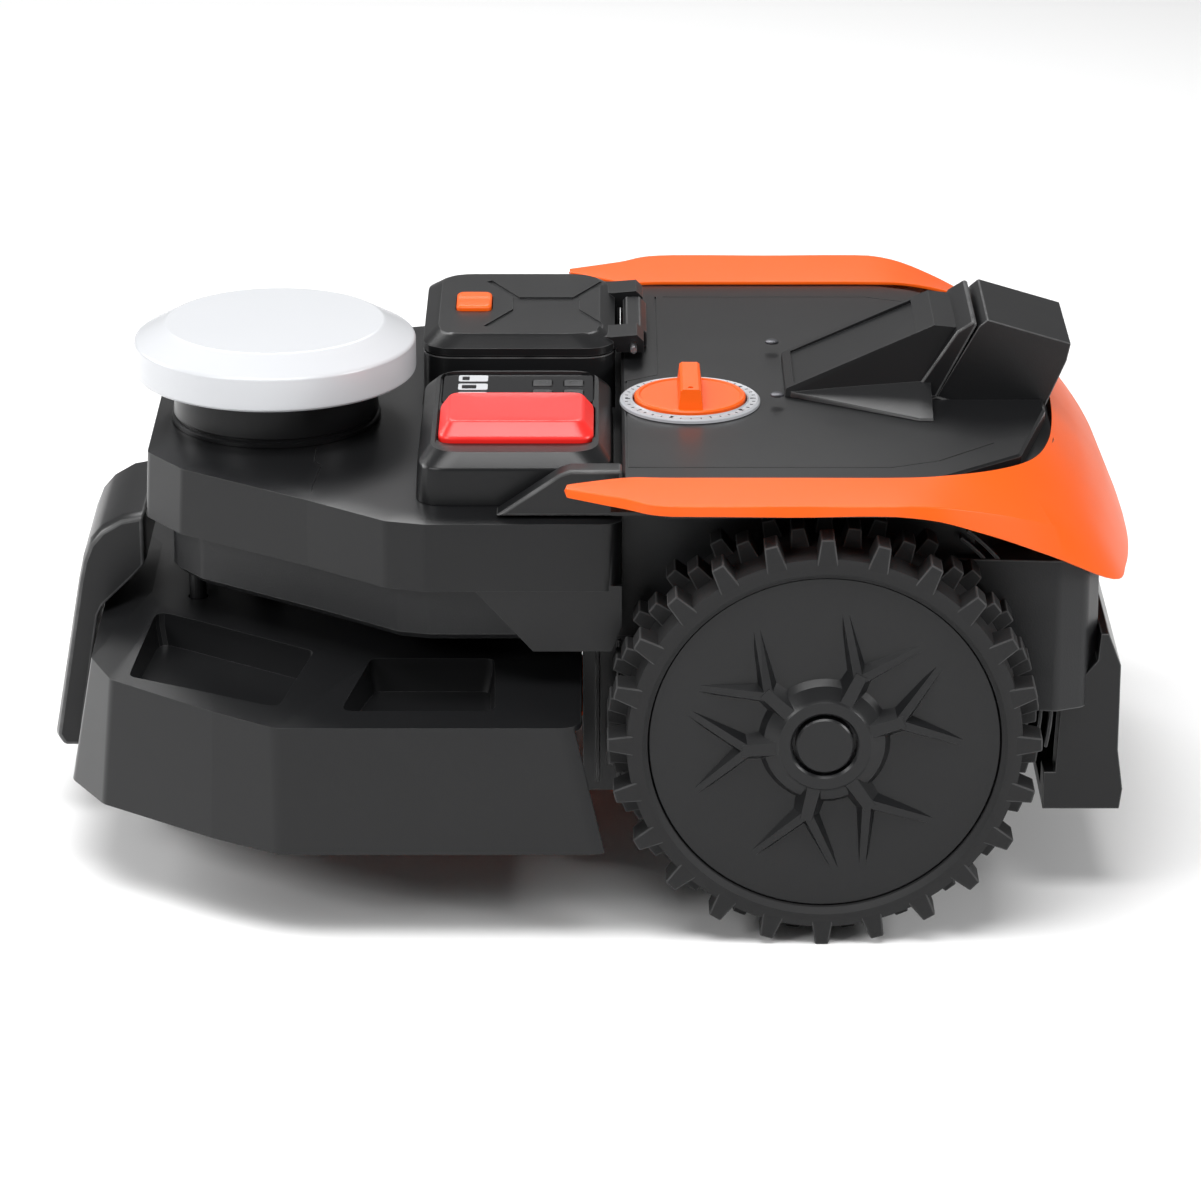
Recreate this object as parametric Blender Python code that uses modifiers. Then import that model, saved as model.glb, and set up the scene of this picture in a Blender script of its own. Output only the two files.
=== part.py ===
"""Robotic lawn mower: +X forward, +Y to the mower's left, +Z up, origin on the ground under its centre."""

import math

import bmesh
import bpy
from mathutils import Matrix, Vector

# Driving dimensions, in metres
GAP = 0.0003
WALL = 0.003

WHEEL_X = 0.130
RIM_R = 0.0973
TYRE_WALL = 0.0127
LUG_HEIGHT = 0.010
TYRE_WIDTH = 0.066
LUGS_PER_ROW = 24
HALF_WIDTH = 0.237
AXLE_R = 0.006
MOTOR_R = 0.032
MOTOR_LENGTH = 0.090
TYRE_ROOT_R = RIM_R + TYRE_WALL
WHEEL_R = TYRE_ROOT_R + LUG_HEIGHT
WHEEL_Z = WHEEL_R
WHEEL_INNER = HALF_WIDTH - TYRE_WIDTH
WHEEL_REAR_X = WHEEL_X - WHEEL_R
WHEEL_FRONT_X = WHEEL_X + WHEEL_R
SEAM_X = WHEEL_REAR_X + 0.0085

ARCH_CLEARANCE = 0.003
SIDE_CLEARANCE = 0.005
BODY_OVERLAP = 0.013
ARCH_Z = 2 * WHEEL_R + ARCH_CLEARANCE
ARCH_HALF = WHEEL_INNER - SIDE_CLEARANCE
BODY_HALF = WHEEL_INNER + BODY_OVERLAP
DECK_Z = ARCH_Z - 0.010
BAND_Z = DECK_Z - 0.041
PLATFORM_Z = DECK_Z + 0.023
PAN_Z = 0.157
FLOOR_Z = 0.075
TUB_X = (0.045, 0.250)
PAN_INSET = 0.013
TRIM_WALL = 0.0025

GUARD_BOTTOM_Z = 0.054
GUARD_TOP_Z = 0.171
GUARD_HALF = 0.168

SKIRT_HALF_WIDTH = HALF_WIDTH - 0.003
SKIRT_INNER_EDGE = 0.150
SKIRT_BOTTOM_Z = 0.054
SKIRT_SHOULDER_Z = 0.128
SKIRT_TOP_Z = 0.138

CUTTER_X = -0.075
DISC_R = 0.085
DISC_Z = 0.062
DISC_THICK = 0.003
BLADE_LENGTH = 0.036
BLADE_HALF_WIDTH = 0.008
BLADE_THICK = 0.0008
BLADE_PIVOT_R = 0.074
BLADE_SCREW_R = 0.0019
CUTTING_MOTOR_R = 0.030
CUTTING_MOTOR_TOP_Z = 0.176
MOTOR_WAY_R = CUTTING_MOTOR_R + 0.002
LIFT_SCREW_R = 0.002
LIFT_SCREW_OUT = 0.008

CASTER_X = -0.228
CASTER_Y = 0.048
CASTER_TRAIL = 0.015
CASTER_R = 0.030
CASTER_WIDTH = 0.022
CASTER_STEM_R = 0.005
CASTER_WAY_R = CASTER_STEM_R + 0.001
CASTER_PIN_R = 0.0027

ANTENNA_X = -0.183
ANTENNA_R = 0.082
ANTENNA_TOP_R = ANTENNA_R - 0.016
ANTENNA_NECK_R = ANTENNA_R - 0.021
ANTENNA_Z = DECK_Z + 0.0282
ANTENNA_THICK = 0.0302

BOX_Z = DECK_Z + 0.029
CONTROL_X = (-0.097, SEAM_X - 0.0015)
CONTROL_Y = (0.006 - ARCH_HALF, 0.004)
BATTERY_X = (-0.098, SEAM_X - 0.0035)
BATTERY_Y = (0.020, ARCH_HALF - 0.008)
BATTERY_LOW_Z = DECK_Z - 0.025
LID_TOP_Z = BOX_Z + 0.012
LID_HINGE_X = SEAM_X + 0.0075
LID_PIN_R = 0.0019
KEY_SIZE = 0.011
KEY_PITCH = 0.018

DIAL_X = 0.058
DIAL_Y = -0.045
DIAL_KNOB_R = 0.032
DIAL_RING_R = DIAL_KNOB_R + 0.0085
DIAL_SHAFT_R = 0.005

POD_HALF = 0.034
HEAD_HALF = 0.042
POD_PLATE_THICK = 0.005

COLOURS = {
    "shell": ((0.030, 0.031, 0.033), 0.45, 0.0),
    "band": ((0.050, 0.052, 0.054), 0.50, 0.0),
    "orange": ((1.0, 0.14, 0.01), 0.35, 0.0),
    "white": ((0.85, 0.86, 0.87), 0.25, 0.0),
    "red": ((0.85, 0.02, 0.02), 0.35, 0.0),
    "rubber": ((0.022, 0.022, 0.023), 0.80, 0.0),
    "steel": ((0.60, 0.60, 0.62), 0.30, 1.0),
    "glass": ((0.010, 0.010, 0.012), 0.08, 0.0),
    "board": ((0.02, 0.16, 0.06), 0.50, 0.0),
}


def clear_scene():
    """Remove whatever the scene holds."""
    for old in list(bpy.data.objects):
        bpy.data.objects.remove(old, do_unlink=True)


def new_collection(name):
    """A collection linked to the scene."""
    made = bpy.data.collections.new(name)
    bpy.context.scene.collection.children.link(made)
    return made


def material(name):
    """The Principled material of one colour name."""
    found = bpy.data.materials.get(name)
    if found:
        return found
    colour, roughness, metallic = COLOURS[name]
    made = bpy.data.materials.new(name)
    made.use_nodes = True
    shader = made.node_tree.nodes["Principled BSDF"]
    shader.inputs["Base Color"].default_value = (*colour, 1.0)
    shader.inputs["Roughness"].default_value = roughness
    shader.inputs["Metallic"].default_value = metallic
    made.diffuse_color = (*colour, 1.0)
    return made


def add_object(name, bm, colour=None, origin=(0, 0, 0)):
    """An object holding a bmesh of world points, with its origin where a joint needs it."""
    bmesh.ops.recalc_face_normals(bm, faces=bm.faces)
    bmesh.ops.translate(bm, verts=bm.verts, vec=-Vector(origin))
    mesh = bpy.data.meshes.new(name)
    bm.to_mesh(mesh)
    bm.free()
    obj = bpy.data.objects.new(name, mesh)
    obj.location = origin
    if colour:
        mesh.materials.append(material(colour))
        parts.objects.link(obj)
    else:
        cutters.objects.link(obj)
        obj.hide_render = True
        obj.display_type = "WIRE"
    return obj


def boolean(obj, other, operation="DIFFERENCE"):
    """Cut or join one object with a helper."""
    step = obj.modifiers.new(operation.title() + " " + other.name, "BOOLEAN")
    step.operation = operation
    step.object = other
    step.solver = "EXACT"
    return obj


def bevel(obj, width, segments=1, angle=35):
    """Break the sharp edges."""
    step = obj.modifiers.new("Edge", "BEVEL")
    step.width = width
    step.segments = segments
    step.limit_method = "ANGLE"
    step.angle_limit = math.radians(angle)
    return obj


def box_mesh(low, high):
    """A block between two corners."""
    bm = bmesh.new()
    bmesh.ops.create_cube(bm, size=1.0)
    size = Vector(high) - Vector(low)
    bmesh.ops.scale(bm, vec=size, verts=bm.verts)
    bmesh.ops.translate(bm, vec=(Vector(high) + Vector(low)) / 2, verts=bm.verts)
    return bm


def cylinder_mesh(centre, radius, length, axis="Z", segments=32, end_radius=None):
    """A cylinder or cone about its centre."""
    bm = bmesh.new()
    turn = {
        "X": Matrix.Rotation(math.pi / 2, 4, "Y"),
        "Y": Matrix.Rotation(-math.pi / 2, 4, "X"),
        "Z": Matrix.Identity(4),
    }[axis]
    bmesh.ops.create_cone(
        bm,
        cap_ends=True,
        segments=segments,
        radius1=radius,
        radius2=radius if end_radius is None else end_radius,
        depth=length,
        matrix=Matrix.Translation(centre) @ turn,
    )
    return bm


def loft_mesh(rings):
    """Skin a stack of rings with equal point counts, and cap both ends."""
    bm = bmesh.new()
    loops = [[bm.verts.new(point) for point in ring] for ring in rings]
    for lower, upper in zip(loops, loops[1:]):
        for i in range(len(lower)):
            j = (i + 1) % len(lower)
            bm.faces.new((lower[i], lower[j], upper[j], upper[i]))
    bm.faces.new(loops[-1])
    bm.faces.new(loops[0])
    return bm


def mirrored(half):
    """A closed plan outline from its right half, which runs from the rear centre line to the front one."""
    return [(x, -y) for x, y in half] + [(x, y) for x, y in reversed(half) if y > 1e-6]


def at_height(outline, z):
    """The outline's points at one height."""
    return [(x, y, z) for x, y in outline]


def prism_mesh(outline, low, high):
    """A plan outline extruded upwards."""
    return loft_mesh([at_height(outline, low), at_height(outline, high)])


def side_prism_mesh(profile, y_low, y_high):
    """A side profile of (x, z) points extruded across the mower."""
    return loft_mesh([[(x, y, z) for x, z in profile] for y in (y_low, y_high)])


def turned(name, profile, colour, origin, axis="Z", steps=48):
    """A profile of (radius, height) points turned about an axis through the origin."""
    bm = bmesh.new()
    points = [bm.verts.new((radius, 0, height)) for radius, height in profile]
    for first, second in zip(points, points[1:]):
        bm.edges.new((first, second))
    if profile[0][0] > 0:
        bm.edges.new((points[-1], points[0]))
    turn = {"Y": Matrix.Rotation(-math.pi / 2, 4, "X"), "-Y": Matrix.Rotation(math.pi / 2, 4, "X")}
    bmesh.ops.spin(
        bm,
        geom=bm.verts[:] + bm.edges[:],
        cent=(0, 0, 0),
        axis=(0, 0, 1),
        angle=math.tau,
        steps=steps,
        use_merge=True,
    )
    bmesh.ops.remove_doubles(bm, verts=bm.verts, dist=1e-6)
    bmesh.ops.transform(bm, matrix=turn.get(axis, Matrix.Identity(4)), verts=bm.verts)
    bmesh.ops.translate(bm, vec=origin, verts=bm.verts)
    return add_object(name, bm, colour, origin)


def inset(outline, amount):
    """A closed outline drawn in by the same amount from each of its edges."""
    points = [Vector(point) for point in outline]
    area = sum(a.x * b.y - b.x * a.y for a, b in zip(points, points[1:] + points[:1]))
    side = math.copysign(1.0, area)
    moved = []
    for i, point in enumerate(points):
        before = (point - points[i - 1]).normalized()
        after = (points[(i + 1) % len(points)] - point).normalized()
        normal = Vector((-before.y, before.x)) * side
        middle = (normal + Vector((-after.y, after.x)) * side).normalized()
        moved.append(point + middle * amount / middle.dot(normal))
    return [(point.x, point.y) for point in moved]


# Plan outlines: right half, from the rear centre line forwards, as (x, distance from the centre line)
BODY_REAR_HALF = [
    (-0.254, 0.060),
    (-0.232, 0.090),
    (-0.158, BODY_HALF - 0.041),
    (-0.113, BODY_HALF - 0.006),
    (-0.091, BODY_HALF),
    (SEAM_X, BODY_HALF),
]
SKIRT_HALF = [
    (-0.297, 0.124),
    (-0.276, 0.161),
    (-0.211, SKIRT_HALF_WIDTH - 0.024),
    (-0.172, SKIRT_HALF_WIDTH),
    (WHEEL_REAR_X + 0.003, SKIRT_HALF_WIDTH),
]
SKIRT_SHOULDER_HALF = [
    (-0.284, 0.122),
    (-0.270, 0.156),
    (-0.209, SKIRT_HALF_WIDTH - 0.029),
    (-0.173, SKIRT_HALF_WIDTH - 0.004),
    (WHEEL_REAR_X - 0.014, SKIRT_HALF_WIDTH - 0.004),
]
SKIRT_INNER_HALF = [
    (-0.256, 0.045),
    (-0.248, 0.062),
    (-0.227, 0.082),
    (-0.124, SKIRT_INNER_EDGE),
    (WHEEL_REAR_X - 0.014, SKIRT_INNER_EDGE),
]


def drill(obj, name, x, y, radius, low, high, segments=32):
    """A round hole through an object along Z."""
    centre = (x, y, (low + high) / 2)
    return boolean(obj, add_object(name, cylinder_mesh(centre, radius, high - low, segments=segments)))


def make_chassis():
    """The lower body: a rear pan above the deck and a deeper front tub between the wheels."""
    rear = inset(mirrored(BODY_REAR_HALF), PAN_INSET)
    top = DECK_Z - WALL - GAP
    tub_half = ARCH_HALF - WALL
    tub = mirrored([(TUB_X[0], tub_half), (TUB_X[1] - 0.035, tub_half), (TUB_X[1], tub_half - 0.043)])
    chassis = add_object("chassis", prism_mesh(rear, PAN_Z, top), "band")
    boolean(chassis, add_object("front_tub", prism_mesh(tub, FLOOR_Z, top)), "UNION")
    bridge = [(-0.020, -tub_half), (0.070, -tub_half), (0.070, tub_half), (-0.020, tub_half)]
    boolean(chassis, add_object("bridge", prism_mesh(bridge, PAN_Z, top)), "UNION")
    low_flank = [(TUB_X[1] - 0.010, 0.150), (WHEEL_FRONT_X + 0.006, WHEEL_INNER + 0.005), (0.2845, 0.160), (0.288, 0.060)]
    high_flank = [(x - 0.016, y) for x, y in low_flank]
    flank_z = (WHEEL_Z - 0.002, WHEEL_Z + 0.085)
    flank = loft_mesh([at_height(mirrored(low_flank), flank_z[0]), at_height(mirrored(high_flank), flank_z[1])])
    boolean(chassis, add_object("front_flank", flank), "UNION")
    rear_room = add_object("rear_room", prism_mesh(inset(rear, WALL), PAN_Z + WALL, top + WALL))
    tub_room = add_object("tub_room", prism_mesh(inset(tub, WALL), FLOOR_Z + WALL, top + WALL))
    link_half = tub_half - WALL
    link = box_mesh((-0.05, -link_half, PAN_Z + WALL), (0.10, link_half, top + WALL))
    for room in (rear_room, tub_room, add_object("link_room", link)):
        boolean(chassis, room)
    drill(chassis, "motor_way", CUTTER_X, 0, MOTOR_WAY_R, PAN_Z - 0.01, PAN_Z + 0.01)
    for side in (-1, 1):
        centre = (WHEEL_X, side * tub_half, WHEEL_Z)
        way = cylinder_mesh(centre, AXLE_R + 0.0006, 0.02, axis="Y", segments=24)
        boolean(chassis, add_object(f"axle_way_{side}", way))
        y = side * CASTER_Y
        drill(chassis, f"stem_way_{side}", CASTER_X, y, CASTER_WAY_R, PAN_Z - 0.007, PAN_Z + 0.013, 20)


def make_rear_cover():
    """The rear upper shell with its side band, which drops lower just behind the wheels."""
    crease = mirrored(BODY_REAR_HALF)
    lip = [(x - 0.002 if x < -0.2 else x, y * 1.012) for x, y in crease]
    crown = inset(crease, 0.018)
    rings = [at_height(lip, BAND_Z), at_height(crease, DECK_Z - 0.002), at_height(crown, DECK_Z)]
    cover = add_object("rear_cover", loft_mesh(rings), "shell")
    root = BAND_Z + 0.003
    low = WHEEL_Z + 0.036
    flank = [(SEAM_X - 0.0845, root), (SEAM_X - 0.0495, low), (SEAM_X - 0.006, low), (SEAM_X, low + 0.015), (SEAM_X, root)]
    for side in (-1, 1):
        across = sorted((side * (BODY_HALF - WALL), side * (BODY_HALF + 0.001)))
        boolean(cover, add_object(f"flank_{side}", side_prism_mesh(flank, *across)), "UNION")
    room = prism_mesh(inset(crease, WALL), BAND_Z - 0.05, DECK_Z - WALL)
    boolean(cover, add_object("rear_cover_room", room))
    mouth_half = ARCH_HALF - 0.0025
    mouth = box_mesh((SEAM_X - 0.0195, -mouth_half, BAND_Z - 0.05), (0.03, mouth_half, DECK_Z - WALL))
    boolean(cover, add_object("rear_cover_mouth", mouth))
    opening = battery_outline(-GAP)
    boolean(cover, add_object("battery_opening", prism_mesh(opening, DECK_Z - 0.02, DECK_Z + 0.02)))


def battery_outline(shrink=0.0):
    """The plan of the battery box."""
    (x0, x1), (y0, y1) = BATTERY_X, BATTERY_Y
    corner = 0.014
    outline = [
        (x0, y0 + corner),
        (x0 + corner, y0),
        (x1, y0),
        (x1, y1),
        (x0 + corner, y1),
        (x0, y1 - corner),
    ]
    return inset(outline, shrink)


def make_front_cover():
    """The raised platform over the drive wheels, with its skirt walls between the wheel arches."""
    rear = SEAM_X + GAP
    nose = [(0.196, BODY_HALF - 0.008), (0.2415, BODY_HALF - 0.046), (0.2615, 0.058)]
    plan = mirrored([(rear, BODY_HALF), (0.176, BODY_HALF)] + nose)
    cover = add_object("front_cover", prism_mesh(plan, ARCH_Z, PLATFORM_Z), "shell")
    throat = mirrored([(rear, ARCH_HALF), (0.198, ARCH_HALF), (0.232, ARCH_HALF - 0.048), (0.240, 0.050)])
    boolean(cover, add_object("throat", prism_mesh(throat, DECK_Z, ARCH_Z + 0.005)), "UNION")
    room = prism_mesh(inset(throat, WALL), DECK_Z - 0.02, PLATFORM_Z - WALL)
    boolean(cover, add_object("throat_room", room))
    drill(cover, "dial_way", DIAL_X, DIAL_Y, DIAL_SHAFT_R + 0.0005, PLATFORM_Z - 0.02, PLATFORM_Z + 0.02)


def make_ramps():
    """The two fins that climb from the rear deck to the platform beside the boxes."""
    top = PLATFORM_Z + 0.004
    foot = DECK_Z + GAP
    profile = [(SEAM_X - 0.0705, foot), (SEAM_X - 0.0305, top), (SEAM_X, top), (SEAM_X, foot)]
    for side, name in ((-1, "right"), (1, "left")):
        across = sorted((side * (ARCH_HALF - 0.0025), side * (BODY_HALF - 0.006)))
        add_object(f"ramp_{name}", side_prism_mesh(profile, *across), "shell")


def trim_section(edge, crease, hem, heading, thickness):
    """One closed section of the trim: its outer skin through three points, and its inner skin behind them."""
    outward = Vector((math.cos(math.radians(heading)), math.sin(math.radians(heading)), 0.0))
    down = Vector((0, 0, thickness))
    outer = [Vector(edge), Vector(crease), Vector(hem)]
    back = [outer[0] - down, outer[1] - down - outward * thickness, outer[2] - outward * thickness]
    return outer + back[::-1]


def make_trim():
    """The orange trim: two side rails over the wheels and the hood that wraps the nose."""
    inner = BODY_HALF + GAP
    outer = HALF_WIDTH
    edge_z = PLATFORM_Z + 0.0025
    crease_z = PLATFORM_Z + 0.004
    hem_z = PLATFORM_Z - 0.002
    bend_z = PLATFORM_Z - 0.004
    hood_z = PLATFORM_Z - 0.042
    tip = outer - 0.030
    stations = [
        ((-0.012, tip - 0.007, crease_z), (-0.013, tip, crease_z), (-0.012, tip + 0.0015, hem_z + 0.001), 90),
        ((0.020, inner, edge_z), (0.018, outer - 0.015, crease_z), (0.018, outer - 0.0135, hem_z), 90),
        ((0.045, inner, edge_z), (0.043, outer - 0.001, crease_z), (0.045, outer, hem_z), 90),
        ((0.176, inner, edge_z), (0.175, outer - 0.001, crease_z), (0.176, outer, hem_z - 0.001), 80),
        ((0.198, inner - 0.004, edge_z), (0.212, outer - 0.015, bend_z), (0.214, outer - 0.013, hem_z - 0.014), 55),
        ((0.246, inner - 0.0443, edge_z - 0.0065), (0.278, 0.164, hood_z), (0.2945, 0.165, hood_z - 0.025), 30),
        ((0.266, 0.060, edge_z - 0.0085), (0.295, 0.068, hood_z - 0.002), (0.310, 0.066, hood_z - 0.038), 8),
        ((0.270, 0.0, edge_z - 0.0095), (0.300, 0.0, hood_z - 0.006), (0.3145, 0.0, hood_z - 0.042), 0),
    ]
    left = [trim_section(*station, TRIM_WALL) for station in stations]
    right = [[Vector((p.x, -p.y, p.z)) for p in section] for section in left]
    add_object("orange_trim", loft_mesh(right[:-1] + left[::-1]), "orange")


def make_front_guard():
    """The foot guard that closes the nose down to the deck's ground clearance."""
    low = GUARD_BOTTOM_Z
    high = GUARD_TOP_Z
    under = FLOOR_Z - GAP
    profile = [(0.301, low), (0.302, low + 0.012), (0.299, low + 0.036), (0.299, high - 0.030), (0.290, high)]
    profile += [(0.2885, high), (0.2885, under + 0.0033), (0.269, under), (0.245, under), (0.245, low)]
    add_object("front_guard", side_prism_mesh(profile, -GUARD_HALF, GUARD_HALF), "shell")


def make_tail_guard():
    """The prow that closes the gap between the two halves of the skirt at the rear."""
    profile = [(-0.262, 0.182), (-0.280, 0.175), (-0.293, 0.165), (-0.299, 0.150), (-0.3145, 0.050)]
    profile += [(-0.311, 0.044), (-0.298, 0.044), (-0.2974, 0.060), (-0.285, 0.152), (-0.262, 0.158)]
    add_object("tail_guard", side_prism_mesh(profile, -0.052, 0.052), "shell")


def make_skirt():
    """The deck skirt: outer walls, a sloping shoulder and a top plate on bosses under the pan."""
    rings = [
        at_height(mirrored(SKIRT_HALF), SKIRT_BOTTOM_Z),
        at_height(mirrored(SKIRT_SHOULDER_HALF), SKIRT_SHOULDER_Z),
        at_height(mirrored(SKIRT_INNER_HALF), SKIRT_TOP_Z),
    ]
    skirt = add_object("deck_skirt", loft_mesh(rings), "shell")
    levels = (
        (SKIRT_HALF, SKIRT_BOTTOM_Z - 0.001),
        (SKIRT_SHOULDER_HALF, SKIRT_SHOULDER_Z - WALL),
        (SKIRT_INNER_HALF, SKIRT_TOP_Z - WALL),
    )
    room = []
    for half, level in levels:
        front_x, front_y = half[-1]
        longer = half[:-1] + [(front_x + 0.02, front_y)]
        room.append(at_height(inset(mirrored(longer), WALL), level))
    boolean(skirt, add_object("skirt_room", loft_mesh(room)))
    drill(skirt, "skirt_motor_way", CUTTER_X, 0, MOTOR_WAY_R, SKIRT_TOP_Z - 0.018, SKIRT_TOP_Z + 0.012)
    boss_low = SKIRT_TOP_Z - 0.001
    boss_high = PAN_Z - GAP
    for x, y in ((-0.190, 0.0), (-0.025, 0.100), (-0.025, -0.100)):
        boss = cylinder_mesh((x, y, (boss_low + boss_high) / 2), 0.008, boss_high - boss_low)
        boolean(skirt, add_object(f"boss_{x:.3f}_{y:.3f}", boss), "UNION")
    for side in (-1, 1):
        y = side * CASTER_Y
        drill(skirt, f"skirt_stem_{side}", CASTER_X, y, CASTER_WAY_R, SKIRT_TOP_Z - 0.018, SKIRT_TOP_Z + 0.012, 20)


def make_tyre(side, name, centre):
    """A tyre with three staggered rows of lugs."""
    inner = RIM_R + GAP
    base = [(inner, 0.0), (TYRE_ROOT_R, 0.0), (TYRE_ROOT_R, TYRE_WIDTH), (inner, TYRE_WIDTH)]
    axis = "Y" if side > 0 else "-Y"
    tyre = turned(f"tyre_{name}", base, "rubber", centre, axis, LUGS_PER_ROW * 2)
    place = Matrix.Translation(centre) @ Matrix.Rotation(-side * math.pi / 2, 4, "X")
    edge = 0.0005
    row_width = (TYRE_WIDTH - 2 * edge) / 3
    for row in range(3):
        low = edge + row * row_width
        crown_mesh = prism_mesh(lug_outline(0.5 * (row % 2)), low - 0.0002, low + row_width + 0.0002)
        middle = (0, 0, low + row_width / 2)
        bore_mesh = cylinder_mesh(middle, TYRE_ROOT_R - 0.005, row_width * 2, segments=48)
        for shape in (crown_mesh, bore_mesh):
            bmesh.ops.transform(shape, matrix=place, verts=shape.verts)
        crown = add_object(f"crown_{name}_{row}", crown_mesh)
        boolean(crown, add_object(f"bore_{name}_{row}", bore_mesh))
        boolean(tyre, crown, "UNION")


def make_wheel(side, name):
    """A drive wheel: tyre, disc, hub cap and axle, all turning about the drive axis, and its motor."""
    axis = "Y" if side > 0 else "-Y"
    centre = (WHEEL_X, side * WHEEL_INNER, WHEEL_Z)
    make_tyre(side, name, centre)
    face = TYRE_WIDTH - 0.002
    seat = face - 0.003
    disc = [
        (AXLE_R + GAP, 0.004),
        (RIM_R, 0.004),
        (RIM_R, face),
        (RIM_R - 0.0053, face),
        (RIM_R - 0.0093, face - 0.004),
        (0.034, face - 0.004),
        (0.0275, face),
        (0.0206, face),
        (0.0168, seat),
        (AXLE_R + GAP, seat),
    ]
    turned(f"wheel_disc_{name}", disc, "shell", centre, axis)
    cap = [(0.0, seat + GAP), (0.0165, seat + GAP), (0.0165, face), (0.015, face + 0.0015), (0.0, face + 0.0015)]
    turned(f"hub_cap_{name}", cap, "shell", centre, axis)
    motor_y = ARCH_HALF - 0.060
    motor_end = motor_y + MOTOR_LENGTH / 2
    axle_low = motor_end + GAP + 0.0002
    axle_high = WHEEL_INNER + seat
    axle_middle = (WHEEL_X, side * (axle_low + axle_high) / 2, WHEEL_Z)
    shaft = cylinder_mesh(axle_middle, AXLE_R, axle_high - axle_low, axis="Y", segments=24)
    add_object(f"axle_{name}", shaft, "steel", centre)
    can = cylinder_mesh((WHEEL_X, side * motor_y, WHEEL_Z), MOTOR_R, MOTOR_LENGTH, axis="Y")
    motor = add_object(f"drive_motor_{name}", can, "steel")
    foot = box_mesh(
        (WHEEL_X - 0.02, side * motor_y - 0.03, FLOOR_Z + WALL + GAP),
        (WHEEL_X + 0.02, side * motor_y + 0.03, WHEEL_Z - 0.02),
    )
    boolean(motor, add_object(f"motor_foot_{name}", foot), "UNION")


def lug_outline(offset):
    """The toothed outline of one row of lugs."""
    pitch = math.tau / LUGS_PER_ROW
    root = TYRE_ROOT_R + 0.0002
    outline = []
    for i in range(LUGS_PER_ROW):
        middle = (i + offset) * pitch
        for share, radius in ((-0.5, root), (-0.22, root), (-0.12, WHEEL_R), (0.12, WHEEL_R), (0.22, root)):
            angle = middle + share * pitch
            outline.append((radius * math.cos(angle), radius * math.sin(angle)))
    return outline


def make_caster(side, name):
    """A swivelling rear caster: fork with its stem, wheel and pin."""
    x, y = CASTER_X, side * CASTER_Y
    wheel_x = x - CASTER_TRAIL
    pivot = (x, y, SKIRT_TOP_Z)
    half = CASTER_WIDTH / 2
    crown_z = CASTER_R * 2 + 0.004
    side_out = half + 0.005
    crown = box_mesh((wheel_x - 0.010, y - side_out, crown_z), (x + 0.010, y + side_out, crown_z + 0.006))
    fork = add_object(f"caster_fork_{name}", crown, "shell", pivot)
    for end in (-1, 1):
        across = sorted((y + end * (half + 0.002), y + end * side_out))
        low = (wheel_x - 0.008, across[0], CASTER_R - 0.008)
        high = (wheel_x + 0.008, across[1], crown_z + 0.003)
        boolean(fork, add_object(f"fork_arm_{name}_{end}", box_mesh(low, high)), "UNION")
    foot = crown_z + 0.004
    stem_top = PAN_Z + 0.013
    shoulder = SKIRT_TOP_Z - WALL - GAP
    for label, radius, top in (("stem", CASTER_STEM_R, stem_top), ("collar", CASTER_STEM_R + 0.004, shoulder)):
        post = cylinder_mesh((x, y, (foot + top) / 2), radius, top - foot, segments=20)
        boolean(fork, add_object(f"{label}_{name}", post), "UNION")
    centre = (wheel_x, y, CASTER_R)
    bore = cylinder_mesh(centre, CASTER_PIN_R + GAP, 0.1, axis="Y", segments=16)
    boolean(fork, add_object(f"fork_bore_{name}", bore))
    hole = CASTER_PIN_R + 0.0008
    edge = CASTER_R - 0.003
    rim = [(hole, -half), (edge, -half), (CASTER_R, 0.003 - half), (CASTER_R, half - 0.003), (edge, half), (hole, half)]
    turned(f"caster_wheel_{name}", rim, "rubber", centre, "Y", 32)
    pin = cylinder_mesh(centre, CASTER_PIN_R, CASTER_WIDTH + 0.012, axis="Y", segments=16)
    add_object(f"caster_pin_{name}", pin, "steel", centre)


def make_blade(i, disc):
    """One hinged blade with the screw that holds it under the disc."""
    angle = i * math.tau / 3
    x = CUTTER_X + BLADE_PIVOT_R * math.cos(angle)
    y = BLADE_PIVOT_R * math.sin(angle)
    drill(disc, f"screw_way_{i}", x, y, BLADE_SCREW_R + GAP, DISC_Z - 0.01, DISC_Z + 0.01, 16)
    top = DISC_Z - GAP
    low = top - BLADE_THICK
    blade = box_mesh((-0.005, -BLADE_HALF_WIDTH, low), (BLADE_LENGTH - 0.005, BLADE_HALF_WIDTH, top))
    turn = Matrix.Translation((x, y, 0)) @ Matrix.Rotation(angle, 4, "Z")
    bmesh.ops.transform(blade, matrix=turn, verts=blade.verts)
    cut = add_object(f"blade_{i + 1}", blade, "steel", (x, y, DISC_Z))
    drill(cut, f"blade_way_{i}", x, y, BLADE_SCREW_R + 0.0007, DISC_Z - 0.01, DISC_Z + 0.01, 16)
    head_z = low - GAP
    tail_z = DISC_Z + DISC_THICK + 0.001
    head_r = 0.004
    screw = [(0.0, head_z - 0.0018), (head_r, head_z - 0.0018), (head_r, head_z), (BLADE_SCREW_R, head_z)]
    turned(f"blade_screw_{i + 1}", screw + [(BLADE_SCREW_R, tail_z), (0.0, tail_z)], "steel", (x, y, 0), steps=16)


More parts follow.
